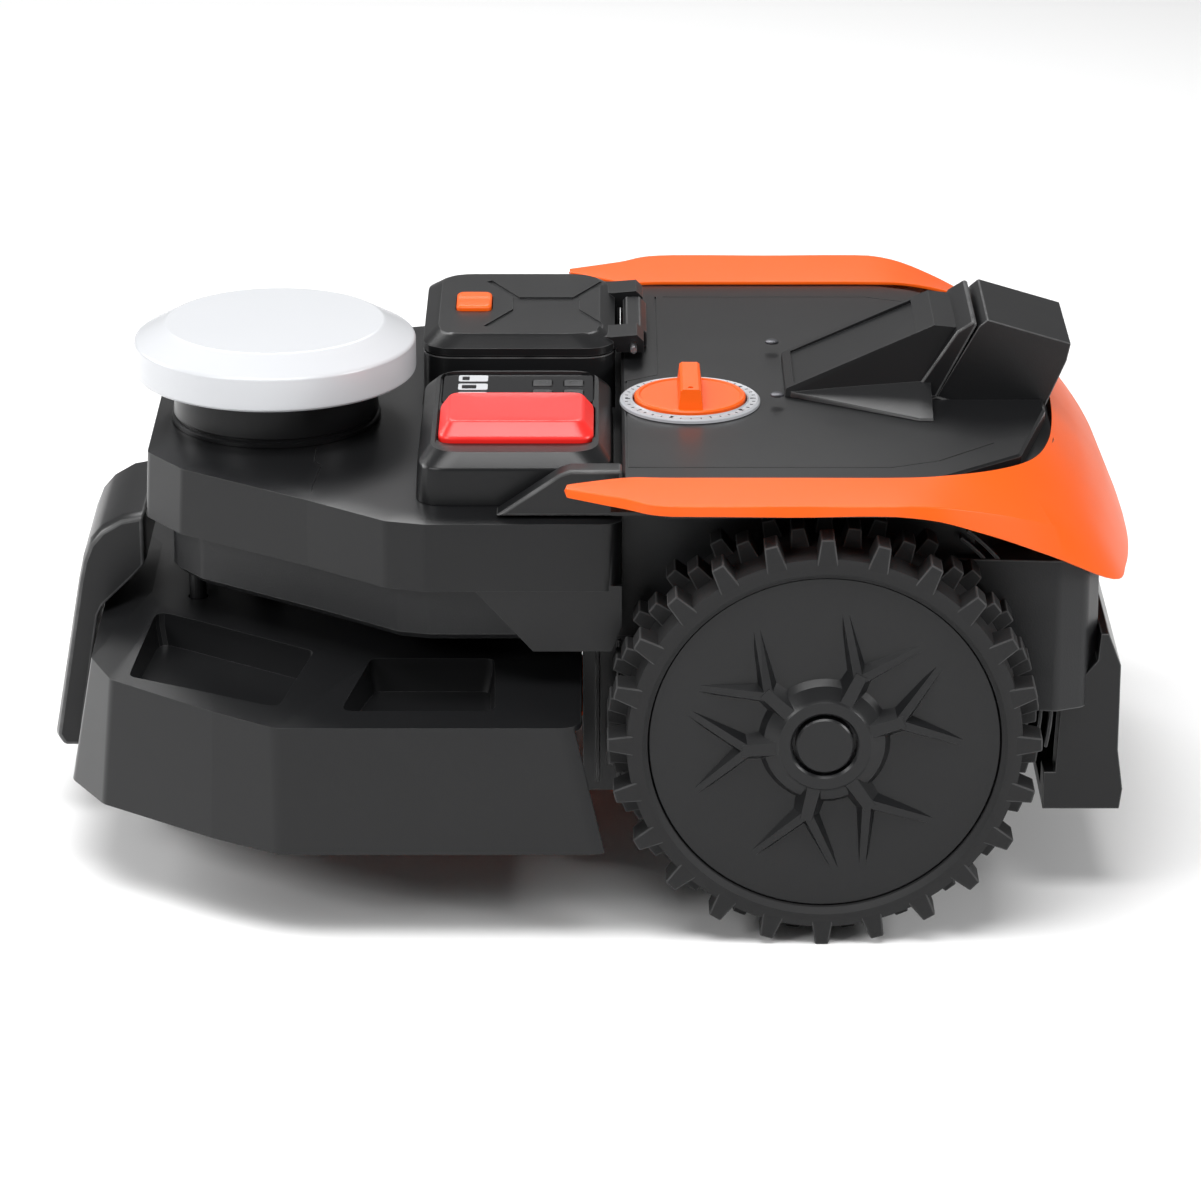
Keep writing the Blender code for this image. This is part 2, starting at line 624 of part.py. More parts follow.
def make_cutting_unit():
    """The lifting cutting unit: motor, carriage, hub and disc with three hinged blades."""
    body_low = DISC_Z + 0.022
    top = CUTTING_MOTOR_TOP_Z
    centre = (CUTTER_X, 0, 0)
    shoulder_r = CUTTING_MOTOR_R - 0.010
    motor = [(0.0, body_low), (CUTTING_MOTOR_R, body_low), (CUTTING_MOTOR_R, top - 0.004)]
    motor += [(shoulder_r, top), (0.0, top)]
    turned("cutting_motor", motor, "shell", centre, steps=32)
    screw_x = CUTTER_X + CUTTING_MOTOR_R + LIFT_SCREW_OUT
    nut = box_mesh((CUTTER_X - 0.005, -0.012, top - 0.002), (screw_x + 0.004, 0.012, top + 0.004))
    carriage = add_object("lift_carriage", nut, "shell")
    seat_x = CUTTER_X + CUTTING_MOTOR_R + 0.001
    seat = box_mesh((CUTTER_X - 0.01, -0.02, top - 0.006), (seat_x, 0.02, top + GAP))
    boolean(carriage, add_object("carriage_seat", seat))
    drill(carriage, "carriage_bore", screw_x, 0, LIFT_SCREW_R + 0.0005, top - 0.011, top + 0.014, 16)
    low = DISC_Z + DISC_THICK + GAP
    hub = [(0.0, low), (0.018, low), (0.018, low + 0.0087), (0.008, body_low - GAP), (0.0, body_low - GAP)]
    turned("disc_hub", hub, "steel", centre, steps=32)
    plate = [(0.0, DISC_Z), (DISC_R, DISC_Z), (DISC_R, DISC_Z + DISC_THICK), (0.0, DISC_Z + DISC_THICK)]
    disc = turned("cutting_disc", plate, "orange", centre)
    skid_r = BLADE_PIVOT_R - 0.035
    skid = [(0.0, DISC_Z - 0.006), (skid_r - 0.004, DISC_Z - 0.006), (skid_r, DISC_Z - 0.003), (skid_r, DISC_Z - GAP)]
    turned("skid_plate", skid + [(0.0, DISC_Z - GAP)], "shell", centre, steps=32)
    for i in range(3):
        make_blade(i, disc)
    post_low = PAN_Z + WALL + GAP
    post_high = DECK_Z - 0.009
    post = cylinder_mesh((screw_x, 0, (post_low + post_high) / 2), LIFT_SCREW_R, post_high - post_low, segments=16)
    add_object("lift_screw", post, "steel")


def make_antenna():
    """The positioning antenna: a black neck under a white bevelled dome."""
    low = ANTENNA_Z
    high = ANTENNA_Z + ANTENNA_THICK
    foot = DECK_Z + GAP
    centre = (ANTENNA_X, 0, 0)
    neck = [(0.0, foot), (ANTENNA_NECK_R, foot), (ANTENNA_NECK_R, low - GAP), (0.0, low - GAP)]
    turned("antenna_neck", neck, "shell", centre)
    dome = [
        (0.0, low),
        (ANTENNA_R - 0.004, low),
        (ANTENNA_R, low + 0.004),
        (ANTENNA_R, low + 0.018),
        (ANTENNA_TOP_R, high),
        (0.0, high),
    ]
    turned("antenna_dome", dome, "white", centre, steps=64)


def make_control_box():
    """The control box with its display, keys and stop button."""
    (x0, x1), (y0, y1) = CONTROL_X, CONTROL_Y
    low = DECK_Z + GAP
    chamfer = 0.014
    foot = [
        (x0, y0 + chamfer),
        (x0 + chamfer, y0),
        (x1 - 0.003, y0),
        (x1 - 0.003, y1),
        (x0 + chamfer, y1),
        (x0, y1 - chamfer),
    ]
    rings = [at_height(foot, low), at_height(inset(foot, 0.004), BOX_Z)]
    box = add_object("control_box", loft_mesh(rings), "shell")
    pane_low = Vector((x0 + 0.012, y1 - 0.066, BOX_Z - 0.004))
    pane_high = Vector((x1 - 0.014, y1 - 0.012, BOX_Z + 0.01))
    boolean(box, add_object("display_seat", box_mesh(pane_low, pane_high)))
    gap = Vector((GAP, GAP, GAP))
    pane = box_mesh(pane_low + gap, (pane_high.x - GAP, pane_high.y - GAP, BOX_Z - 0.001))
    window = add_object("display_window", pane, "glass")
    well_low = Vector((x0 + 0.010, y0 + 0.018, BOX_Z - 0.010))
    well_high = Vector((x1 - 0.012, pane_low.y - 0.004, BOX_Z + 0.02))
    boolean(box, add_object("stop_well", box_mesh(well_low, well_high)))
    fit = 0.0008
    button = box_mesh(well_low + Vector((fit, fit, 0.005)), well_high - Vector((fit, fit, 0.011)))
    stop = add_object("stop_button", button, "red", ((x0 + x1) / 2, (well_low.y + well_high.y) / 2, BOX_Z))
    bevel(stop, 0.003)
    for i in range(4):
        x = pane_high.x - 0.012 - (i % 2) * KEY_PITCH
        y = pane_low.y + KEY_PITCH * (1 + i // 2)
        make_key(i, x, y, window)


def make_key(i, x, y, window):
    """One square key in its hole in the display window."""
    half = KEY_SIZE / 2
    room = half + 0.0005
    hole = box_mesh((x - room, y - room, BOX_Z - 0.0025), (x + room, y + room, BOX_Z))
    boolean(window, add_object(f"key_hole_{i}", hole))
    key = box_mesh((x - half, y - half, BOX_Z - 0.0017), (x + half, y + half, BOX_Z - GAP))
    add_object(f"key_{i + 1}", key, "band", (x, y, BOX_Z))


def make_battery():
    """The battery box, pack, hinged lid and latch button."""
    low = BATTERY_LOW_Z
    high = BOX_Z
    (x0, x1), (y0, y1) = BATTERY_X, BATTERY_Y
    plan = battery_outline()
    box = add_object("battery_box", prism_mesh(plan, low, high), "shell")
    boolean(box, add_object("battery_room", prism_mesh(inset(plan, WALL), low + WALL, high + 0.01)))
    pack = box_mesh((x0 + 0.010, y0 + 0.016, low + WALL + GAP), (x1 - 0.006, y1 - 0.016, high - 0.004))
    bevel(add_object("battery_pack", pack, "shell"), 0.004)
    middle = (y0 + y1) / 2
    pivot = (LID_HINGE_X, middle, high + 0.003)
    rings = [at_height(plan, high + GAP), at_height(plan, high + 0.006), at_height(inset(plan, 0.006), LID_TOP_Z)]
    lid = add_object("battery_lid", loft_mesh(rings), "shell", pivot)
    lid_room = prism_mesh(inset(plan, 0.009), high - 0.01, LID_TOP_Z - WALL)
    boolean(lid, add_object("lid_room", lid_room))
    arm_end = LID_HINGE_X + 0.006
    arm_profile = [(x1 - 0.004, high + GAP), (x1 - 0.004, high + 0.010), (arm_end, high + 0.008)]
    arm_profile += [(arm_end, high - 0.001), (x1 + 0.001, high - 0.001), (x1 + 0.001, high + GAP)]
    for i, y in enumerate((y0 + 0.025, y1 - 0.025)):
        arm = side_prism_mesh(arm_profile, y - 0.012, y + 0.012)
        boolean(lid, add_object(f"lid_arm_{i}", arm), "UNION")
    bore_r = LID_PIN_R + GAP
    boolean(lid, add_object("lid_bore", cylinder_mesh(pivot, bore_r, 0.3, axis="Y", segments=16)))
    pin = cylinder_mesh(pivot, LID_PIN_R, y1 - y0 - 0.008, axis="Y", segments=16)
    add_object("lid_hinge_pin", pin, "steel", pivot)
    block_half = (y1 - y0) / 2 - 0.039
    block_low = (LID_HINGE_X - 0.006, middle - block_half, PLATFORM_Z + GAP)
    block_high = (LID_HINGE_X + 0.008, middle + block_half, high + 0.007)
    block = add_object("hinge_block", box_mesh(block_low, block_high), "shell")
    boolean(block, add_object("block_bore", cylinder_mesh(pivot, bore_r, 0.2, axis="Y", segments=16)))
    make_latch(lid, x0 + 0.018, middle)


def make_latch(lid, x, y):
    """The latch button in its slot in the lid."""
    slot = box_mesh((x, y - 0.016, LID_TOP_Z - 0.01), (x + 0.022, y + 0.016, LID_TOP_Z + 0.01))
    boolean(lid, add_object("latch_slot", slot))
    low = (x + 0.0005, y - 0.0155, LID_TOP_Z - 0.002)
    button = box_mesh(low, (x + 0.0215, y + 0.0155, LID_TOP_Z + 0.003))
    add_object("latch_button", button, "orange", (x, y, LID_TOP_Z))


def make_dial():
    """The cutting-height dial and its graduated ring."""
    centre = (DIAL_X, DIAL_Y, PLATFORM_Z)
    inner = DIAL_KNOB_R + 0.001
    ring = [(inner, GAP), (DIAL_RING_R, GAP), (DIAL_RING_R - 0.001, 0.003), (inner, 0.003)]
    turned("dial_ring", ring, "steel", centre)
    shaft = [(0.0, -0.012), (DIAL_SHAFT_R, -0.012), (DIAL_SHAFT_R, GAP)]
    knob = shaft + [(DIAL_KNOB_R, GAP), (DIAL_KNOB_R, 0.005), (0.0, 0.005)]
    dial = turned("dial_knob", knob, "orange", centre)
    grip = box_mesh(
        (DIAL_X - 0.007, DIAL_Y + 0.003 - DIAL_KNOB_R, PLATFORM_Z + 0.004),
        (DIAL_X + 0.007, DIAL_Y - 0.003 + DIAL_KNOB_R, PLATFORM_Z + 0.016),
    )
    boolean(dial, add_object("dial_grip", grip), "UNION")


def make_camera():
    """The camera pod on the platform, with the head that looks forward and down."""
    base = PLATFORM_Z + GAP
    high = PLATFORM_Z + 0.040
    pod = [(0.112, base), (0.114, PLATFORM_Z + 0.006), (0.200, high), (0.215, high), (0.188, base)]
    body = add_object("camera_pod", side_prism_mesh(pod, -POD_HALF, POD_HALF), "shell")
    plate = mirrored([(0.100, POD_HALF + 0.026), (0.150, POD_HALF + 0.044), (0.196, POD_HALF + 0.044)])
    boolean(body, add_object("pod_plate", prism_mesh(plate, base, base + POD_PLATE_THICK)), "UNION")
    front_high = Vector((0.275, 0, PLATFORM_Z + 0.034))
    front_low = Vector((0.262, 0, PLATFORM_Z + 0.006))
    rear_high = (0.2215, high + 0.007)
    rear_low = (0.196, PLATFORM_Z + 0.0055)
    head = [rear_high, (0.230, high + 0.0085), (front_high.x, front_high.z), (front_low.x, front_low.z), rear_low]
    add_object("camera_head", side_prism_mesh(head, -HEAD_HALF, HEAD_HALF), "shell")
    lean = (front_high - front_low).normalized()
    out = Vector((lean.z, 0, -lean.x))
    thick = 0.0024
    middle = (front_high + front_low) / 2 + out * (GAP + thick / 2)
    pane_half = HEAD_HALF - 0.006
    pane = box_mesh((-thick / 2, -pane_half, -0.012), (thick / 2, pane_half, 0.012))
    turn = Matrix.Rotation(math.atan2(lean.x, lean.z), 4, "Y")
    bmesh.ops.transform(pane, matrix=Matrix.Translation(middle) @ turn, verts=pane.verts)
    add_object("camera_window", pane, "glass")


def make_small_parts():
    """The rain contacts and the main board."""
    thick = 0.0016
    dot_z = PLATFORM_Z + POD_PLATE_THICK + 2 * GAP + thick / 2
    for name, side in (("right", -1), ("left", 1)):
        dot = cylinder_mesh((0.108, side * (POD_HALF + 0.016), dot_z), 0.004, thick, segments=16)
        add_object(f"rain_contact_{name}", dot, "steel")
    board_z = PAN_Z + WALL + GAP
    add_object("main_board", box_mesh((-0.180, -0.055, board_z), (-0.125, 0.055, board_z + 0.012)), "board")


clear_scene()
parts = new_collection("robotic_lawn_mower")
cutters = new_collection("cutters")
make_chassis()
make_rear_cover()
make_front_cover()
make_ramps()
make_trim()
make_front_guard()
make_tail_guard()
make_skirt()
for wheel_side, wheel_name in ((-1, "right"), (1, "left")):
    make_wheel(wheel_side, wheel_name)
    make_caster(wheel_side, wheel_name)
make_cutting_unit()
make_antenna()
make_control_box()
make_battery()
make_dial()
make_camera()
make_small_parts()
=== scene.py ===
"""Robotic lawn mower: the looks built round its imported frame. +X forward, +Y to its left, +Z up, in metres."""

import math

import bmesh
import bpy
from mathutils import Matrix, Vector


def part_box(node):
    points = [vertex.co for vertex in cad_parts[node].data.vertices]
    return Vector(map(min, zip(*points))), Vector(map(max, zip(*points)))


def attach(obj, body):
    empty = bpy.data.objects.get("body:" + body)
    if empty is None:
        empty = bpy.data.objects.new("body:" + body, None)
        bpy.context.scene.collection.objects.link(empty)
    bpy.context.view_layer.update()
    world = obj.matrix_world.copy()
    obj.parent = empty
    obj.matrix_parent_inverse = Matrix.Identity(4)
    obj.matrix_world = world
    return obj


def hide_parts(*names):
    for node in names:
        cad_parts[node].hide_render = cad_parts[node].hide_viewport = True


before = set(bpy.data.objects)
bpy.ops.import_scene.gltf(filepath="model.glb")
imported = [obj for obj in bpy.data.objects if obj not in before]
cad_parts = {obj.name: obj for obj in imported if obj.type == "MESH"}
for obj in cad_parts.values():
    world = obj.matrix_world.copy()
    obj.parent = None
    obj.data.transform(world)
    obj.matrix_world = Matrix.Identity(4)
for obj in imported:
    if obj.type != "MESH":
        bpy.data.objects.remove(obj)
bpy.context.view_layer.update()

bl_info = {
    "name": "Robotic Lawn Mower",
    "version": (1, 0, 0),
    "blender": (4, 5, 0),
    "location": "View3D > Sidebar > Mower",
    "description": "Builds the visible pieces and finishes of a robotic lawn mower",
    "category": "Add Mesh",
}

SIDES = ((-1, "right"), (1, "left"))
SMOOTH_ANGLE = math.radians(32)
WALL = 0.003  # thickness of the pan and of the tub in it
WHEEL_CENTRE = (0.130, 0.120)  # x and z of the drive wheels' axle
DIAL_CENTRE = (0.058, -0.045)  # x and y of the height dial
BLADE_PIVOT_R = 0.074


# ---------------------------------------------------------------- settings


def colour_setting(name, description, default):
    return bpy.props.FloatVectorProperty(
        name=name, description=description, subtype="COLOR", size=3, default=default
    )


def length_setting(name, description, default):
    return bpy.props.FloatProperty(name=name, description=description, unit="LENGTH", default=default)


class MowerColours(bpy.types.PropertyGroup):
    """The finishes' base colours."""

    shell: colour_setting("Shell", "Main black moulding", (0.0080, 0.0082, 0.0088))
    band: colour_setting("Side band", "Greyer side mouldings", (0.0190, 0.0195, 0.0205))
    orange: colour_setting("Trim", "Rails, hood, dial and latch", (0.80, 0.100, 0.003))
    red: colour_setting("Stop button", "Emergency stop", (0.83, 0.018, 0.014))
    white: colour_setting("Antenna", "Antenna dome", (0.54, 0.55, 0.57))
    rubber: colour_setting("Rubber", "Tyres and rollers", (0.0125, 0.0125, 0.013))


class MowerSizes(bpy.types.PropertyGroup):
    """Sizes that a user may change."""

    lug_count: bpy.props.IntProperty(
        name="Lugs", description="Lugs in each row of a tyre", default=24, min=8
    )
    lug_tip: length_setting("Lug tip", "Lug length along the tread at its tip", 0.0075)
    lug_foot: length_setting("Lug foot", "Lug length along the tread at its foot", 0.0125)
    spoke_height: length_setting("Spoke height", "How far the wheel's ribs stand out", 0.0075)
    pocket_depth: length_setting("Pocket depth", "Depth of the hollows in the skirt", 0.011)
    tick_count: bpy.props.IntProperty(
        name="Dial ticks", description="Marks round the dial", default=40, min=4
    )


def sizes():
    """The size settings."""
    return bpy.context.scene.mower_sizes


# ---------------------------------------------------------------- mesh tools


def edge_loop(bm, points):
    """A closed loop of edges through the points."""
    verts = [bm.verts.new(point) for point in points]
    return [bm.edges.new((verts[i - 1], verts[i])) for i in range(len(verts))]


def loft(rings, cap_first=True, cap_last=True):
    """A skin bridged over rings of points, closed at its ends."""
    bm = bmesh.new()
    loops = [edge_loop(bm, ring) for ring in rings]
    for lower, upper in zip(loops, loops[1:]):
        bmesh.ops.bridge_loops(bm, edges=lower + upper)
    if cap_first:
        bmesh.ops.edgeloop_fill(bm, edges=loops[0])
    if cap_last:
        bmesh.ops.edgeloop_fill(bm, edges=loops[-1])
    bmesh.ops.recalc_face_normals(bm, faces=bm.faces)
    return bm


def level(outline, z):
    """The points of a plan outline at one height."""
    return [(x, y, z) for x, y in outline]


def plan_prism(outline, low, high):
    """A plan outline raised from low to high."""
    bm = bmesh.new()
    loop = edge_loop(bm, level(outline, low))
    face = bmesh.ops.edgeloop_fill(bm, edges=loop)["faces"]
    raised = bmesh.ops.extrude_face_region(bm, geom=face)["geom"]
    verts = [item for item in raised if isinstance(item, bmesh.types.BMVert)]
    bmesh.ops.translate(bm, vec=(0, 0, high - low), verts=verts)
    bmesh.ops.recalc_face_normals(bm, faces=bm.faces)
    return bm


def side_prism(profile, y_low, y_high):
    """A side profile of (x, z) points extruded across the mower."""
    return loft([[(x, y, z) for x, z in profile] for y in (y_low, y_high)])


def block(low, high):
    """A box between two corners."""
    bm = bmesh.new()
    bmesh.ops.create_cube(bm, size=1.0)
    low, high = Vector(low), Vector(high)
    bmesh.ops.scale(bm, vec=high - low, verts=bm.verts)
    bmesh.ops.translate(bm, vec=(low + high) / 2, verts=bm.verts)
    return bm


def drum(centre, radius, length, axis="Z", segments=48, end_radius=None):
    """A cylinder or cone about its centre."""
    bm = bmesh.new()
    turns = {"X": (math.pi / 2, "Y"), "Y": (-math.pi / 2, "X"), "Z": (0.0, "Z")}
    bmesh.ops.create_cone(
        bm,
        cap_ends=True,
        segments=segments,
        radius1=radius,
        radius2=radius if end_radius is None else end_radius,
        depth=length,
        matrix=Matrix.Translation(centre) @ Matrix.Rotation(turns[axis][0], 4, turns[axis][1]),
    )
    return bm


def turned(profile, steps=64):
    """(radius, height) points spun about +Z; a profile that ends off the axis is closed first."""
    bm = bmesh.new()
    verts = [bm.verts.new((radius, 0, height)) for radius, height in profile]
    edges = [bm.edges.new(pair) for pair in zip(verts, verts[1:])]
    if profile[0][0] > 1e-6:
        edges.append(bm.edges.new((verts[-1], verts[0])))
    bmesh.ops.spin(
        bm, geom=verts + edges, cent=(0, 0, 0), axis=(0, 0, 1), angle=math.tau, steps=steps, use_merge=True
    )
    bmesh.ops.remove_doubles(bm, verts=bm.verts, dist=1e-6)
    bmesh.ops.recalc_face_normals(bm, faces=bm.faces)
    return bm


def around(radius, angle):
    """The point at this radius and angle round +Z."""
    return Vector((radius * math.cos(angle), radius * math.sin(angle), 0))


def moved(bm, matrix):
    """The mesh placed by a matrix, with its faces still pointing out."""
    bmesh.ops.transform(bm, matrix=matrix, verts=bm.verts)
    if matrix.to_3x3().determinant() < 0:
        bmesh.ops.reverse_faces(bm, faces=bm.faces)
    return bm


def add_into(bm, other):
    """Add a second mesh's geometry to the first, and free the second."""
    mesh = bpy.data.meshes.new("joined")
    other.to_mesh(mesh)
    other.free()
    bm.from_mesh(mesh)
    bpy.data.meshes.remove(mesh)
    return bm


def hull_both_sides(*rows):
    """The convex hull of points given on the left, with their mirror images on the right."""
    bm = bmesh.new()
    for x, y, z in (point for row in rows for point in row):
        bm.verts.new((x, y, z))
        bm.verts.new((x, -y, z))
    bmesh.ops.convex_hull(bm, input=bm.verts)
    return bm


def inset_outline(outline, amount):
    """A closed outline drawn in by the same amount from each of its edges, or let out by a negative one."""
    points = [Vector(point) for point in outline]
    area = sum(a.x * b.y - b.x * a.y for a, b in zip(points, points[1:] + points[:1]))
    side = math.copysign(1.0, area)
    result = []
    for i, point in enumerate(points):
        before = (point - points[i - 1]).normalized()
        after = (points[(i + 1) % len(points)] - point).normalized()
        normal = Vector((-before.y, before.x)) * side
        middle = (normal + Vector((-after.y, after.x)) * side).normalized()
        result.append(point + middle * amount / middle.dot(normal))
    return [(point.x, point.y) for point in result]


def mirrored(half):
    """A closed plan outline from its right half, which runs from the rear centre line to the front one."""
    return [(x, -y) for x, y in half] + [(x, y) for x, y in reversed(half) if y > 1e-6]


def rounded(outline, radius, steps=4):
    """An outline with each corner replaced by a short arc, as far as its edges allow."""
    points = [Vector(point) for point in outline]
    result = []
    for i, point in enumerate(points):
        before, after = points[i - 1], points[(i + 1) % len(points)]
        to_before, to_after = before - point, after - point
        half = to_before.angle(to_after) / 2
        reach = min(radius / max(math.tan(half), 0.05), to_before.length * 0.45, to_after.length * 0.45)
        start = point + to_before.normalized() * reach
        end = point + to_after.normalized() * reach
        for step in range(steps + 1):
            t = step / steps
            corner = start * (1 - t) ** 2 + point * 2 * t * (1 - t) + end * t**2
            result.append((corner.x, corner.y))
    return result


def helper_object(bm, name):
    """A throwaway object for one Boolean."""
    mesh = bpy.data.meshes.new(name)
    bm.to_mesh(mesh)
    bm.free()
    obj = bpy.data.objects.new(name, mesh)
    bpy.context.scene.collection.objects.link(obj)
    return obj


def carved(bm, *cutters, operation="DIFFERENCE"):
    """The mesh after cutting away, or joining on, the other meshes."""
    base = helper_object(bm, "carve_base")
    tools = [helper_object(cutter, "carve_tool") for cutter in cutters]
    for tool in tools:
        step = base.modifiers.new("Carve", "BOOLEAN")
        step.operation = operation
        step.solver = "EXACT"
        step.object = tool
    bpy.context.view_layer.update()
    graph = bpy.context.evaluated_depsgraph_get()
    mesh = bpy.data.meshes.new_from_object(base.evaluated_get(graph))
    result = bmesh.new()
    result.from_mesh(mesh)
    bpy.data.meshes.remove(mesh)
    for obj in [base, *tools]:
        old = obj.data
        bpy.data.objects.remove(obj)
        bpy.data.meshes.remove(old)
    bmesh.ops.remove_doubles(result, verts=result.verts, dist=1e-6)
    bmesh.ops.dissolve_limit(result, angle_limit=math.radians(0.3), verts=result.verts, edges=result.edges)
    return result


def softened(bm, width, segments=2, angle=28.0):
    """Round the sharp edges, and mark the rounded faces so that the finish can lighten them there: partly wear,
    partly a painted highlight where light would catch the edge.
    """
    mark = bm.faces.layers.float.get("wear_and_highlight") or bm.faces.layers.float.new("wear_and_highlight")
    sharp = []
    for edge in bm.edges:
        if len(edge.link_faces) == 2 and edge.calc_face_angle(0.0) > math.radians(angle):
            sharp.append(edge)
    made = bmesh.ops.bevel(
        bm,
        geom=sharp,
        offset=width,
        offset_type="OFFSET",
        affect="EDGES",
        segments=segments,
        profile=0.5,
        material=-1,
        clamp_overlap=True,
        loop_slide=True,
    )
    # The marked faces are later lightened in colour: partly wear, partly a painted highlight.
    for face in made["faces"]:
        face[mark] = 1.0
    return bm


def finish(name, bm, look, replaces=(), body="base", smooth=True):
    """Make the piece: its object, its look, the body it rides on and the nodes it stands for."""
    mesh = bpy.data.meshes.new(name)
    bmesh.ops.remove_doubles(bm, verts=bm.verts, dist=2e-6)
    bm.to_mesh(mesh)
    bm.free()
    mesh.materials.append(look_material(look))
    if smooth:
        mesh.shade_smooth()
        mesh.set_sharp_from_angle(angle=SMOOTH_ANGLE)
    obj = bpy.data.objects.new(name, mesh)
    if smooth:
        step = obj.modifiers.new("Weighted Normals", "WEIGHTED_NORMAL")
        step.keep_sharp = True
    bpy.context.scene.collection.objects.link(obj)
    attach(obj, body)
    if replaces:
        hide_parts(*replaces)
    return obj


# ---------------------------------------------------------------- finishes


def new_group(name, inputs, outputs):
    """A node group with float inputs (name, default), outputs (name, type) and its two end nodes."""
    group = bpy.data.node_groups.new(name, "ShaderNodeTree")
    for socket, default in inputs:
        made = group.interface.new_socket(socket, in_out="INPUT", socket_type="NodeSocketFloat")
        made.default_value = default
    for socket, kind in outputs:
        group.interface.new_socket(socket, in_out="OUTPUT", socket_type=kind)
    start = group.nodes.new("NodeGroupInput")
    end = group.nodes.new("NodeGroupOutput")
    return group, start, end


def math_node(group, operation, first, second):
    """A Math node fed by sockets or numbers."""
    node = group.nodes.new("ShaderNodeMath")
    node.operation = operation
    for slot, value in zip(node.inputs, (first, second)):
        if isinstance(value, bpy.types.NodeSocket):
            group.links.new(value, slot)
        else:
            slot.default_value = value
    return node.outputs[0]


def moulded_group():
    """Moulded plastic: fine spark-eroded grain, slow roughness drift, and rounded edges lightened in patches,
    partly as wear and partly as a painted highlight.
    """
    found = bpy.data.node_groups.get("moulded_surface")
    if found:
        return found
    group, start, end = new_group(
        "moulded_surface",
        [("Grain per Metre", 1400.0), ("Roughness", 0.45), ("Roughness Spread", 0.08), ("Wear and Highlight Strength", 0.5)],
        [("Grain", "NodeSocketFloat"), ("Roughness", "NodeSocketFloat"), ("Wear and Highlight", "NodeSocketFloat")],
    )
    links = group.links
    place = group.nodes.new("ShaderNodeTexCoord")
    grain = group.nodes.new("ShaderNodeTexNoise")
    grain.inputs["Detail"].default_value = 2.0
    links.new(place.outputs["Object"], grain.inputs["Vector"])
    links.new(start.outputs["Grain per Metre"], grain.inputs["Scale"])
    pits = group.nodes.new("ShaderNodeTexVoronoi")
    links.new(place.outputs["Object"], pits.inputs["Vector"])
    links.new(start.outputs["Grain per Metre"], pits.inputs["Scale"])
    links.new(math_node(group, "ADD", grain.outputs[0], pits.outputs["Distance"]), end.inputs["Grain"])
    drift = group.nodes.new("ShaderNodeTexNoise")
    drift.inputs["Scale"].default_value = 22.0
    drift.inputs["Detail"].default_value = 4.0
    links.new(place.outputs["Object"], drift.inputs["Vector"])
    centred = math_node(group, "SUBTRACT", drift.outputs[0], 0.5)
    spread = math_node(group, "MULTIPLY", centred, start.outputs["Roughness Spread"])
    links.new(math_node(group, "ADD", spread, start.outputs["Roughness"]), end.inputs["Roughness"])
    # Rounded faces marked by softened(), lightened in patches: partly wear, partly a painted highlight.
    mark = group.nodes.new("ShaderNodeAttribute")
    mark.attribute_name = "wear_and_highlight"
    patch = group.nodes.new("ShaderNodeTexNoise")
    patch.inputs["Scale"].default_value = 90.0
    patch.inputs["Detail"].default_value = 5.0
    links.new(place.outputs["Object"], patch.inputs["Vector"])
    patchy = math_node(group, "MULTIPLY", mark.outputs["Fac"], patch.outputs[0])
    links.new(math_node(group, "MULTIPLY", patchy, start.outputs["Wear and Highlight Strength"]), end.inputs["Wear and Highlight"])
    return group


def plain_material(name):
    """A new material with its Principled shader."""
    made = bpy.data.materials.new(name)
    made.use_nodes = True
    return made, made.node_tree, made.node_tree.nodes["Principled BSDF"]


def moulded(
    name, colour, roughness=0.45, spread=0.08, edge_wear_and_highlight=0.5, lift=0.05, grain=1400.0, depth=0.05, shine=0.5
):
    """A moulded plastic or rubber finish in one colour, made once."""
    found = bpy.data.materials.get(name)
    if found:
        return found
    made, tree, shader = plain_material(name)
    surface = tree.nodes.new("ShaderNodeGroup")
    surface.node_tree = moulded_group()
    surface.inputs["Grain per Metre"].default_value = grain
    surface.inputs["Roughness"].default_value = roughness
    surface.inputs["Roughness Spread"].default_value = spread
    surface.inputs["Wear and Highlight Strength"].default_value = edge_wear_and_highlight
    # Lighter colour on the marked rounded faces: partly wear, partly a painted highlight standing in for light
    # along the edges.
    tint = tree.nodes.new("ShaderNodeMix")
    tint.data_type = "RGBA"
    tint.inputs["A"].default_value = (*colour, 1.0)
    tint.inputs["B"].default_value = (*(min(value * 1.25 + lift, 1.0) for value in colour), 1.0)
    tree.links.new(surface.outputs["Wear and Highlight"], tint.inputs["Factor"])
    tree.links.new(tint.outputs["Result"], shader.inputs["Base Color"])
    tree.links.new(surface.outputs["Roughness"], shader.inputs["Roughness"])
    bump = tree.nodes.new("ShaderNodeBump")
    bump.inputs["Strength"].default_value = depth
    bump.inputs["Distance"].default_value = 0.0004
    tree.links.new(surface.outputs["Grain"], bump.inputs["Height"])
    tree.links.new(bump.outputs["Normal"], shader.inputs["Normal"])
    shader.inputs["Specular IOR Level"].default_value = shine
    return made


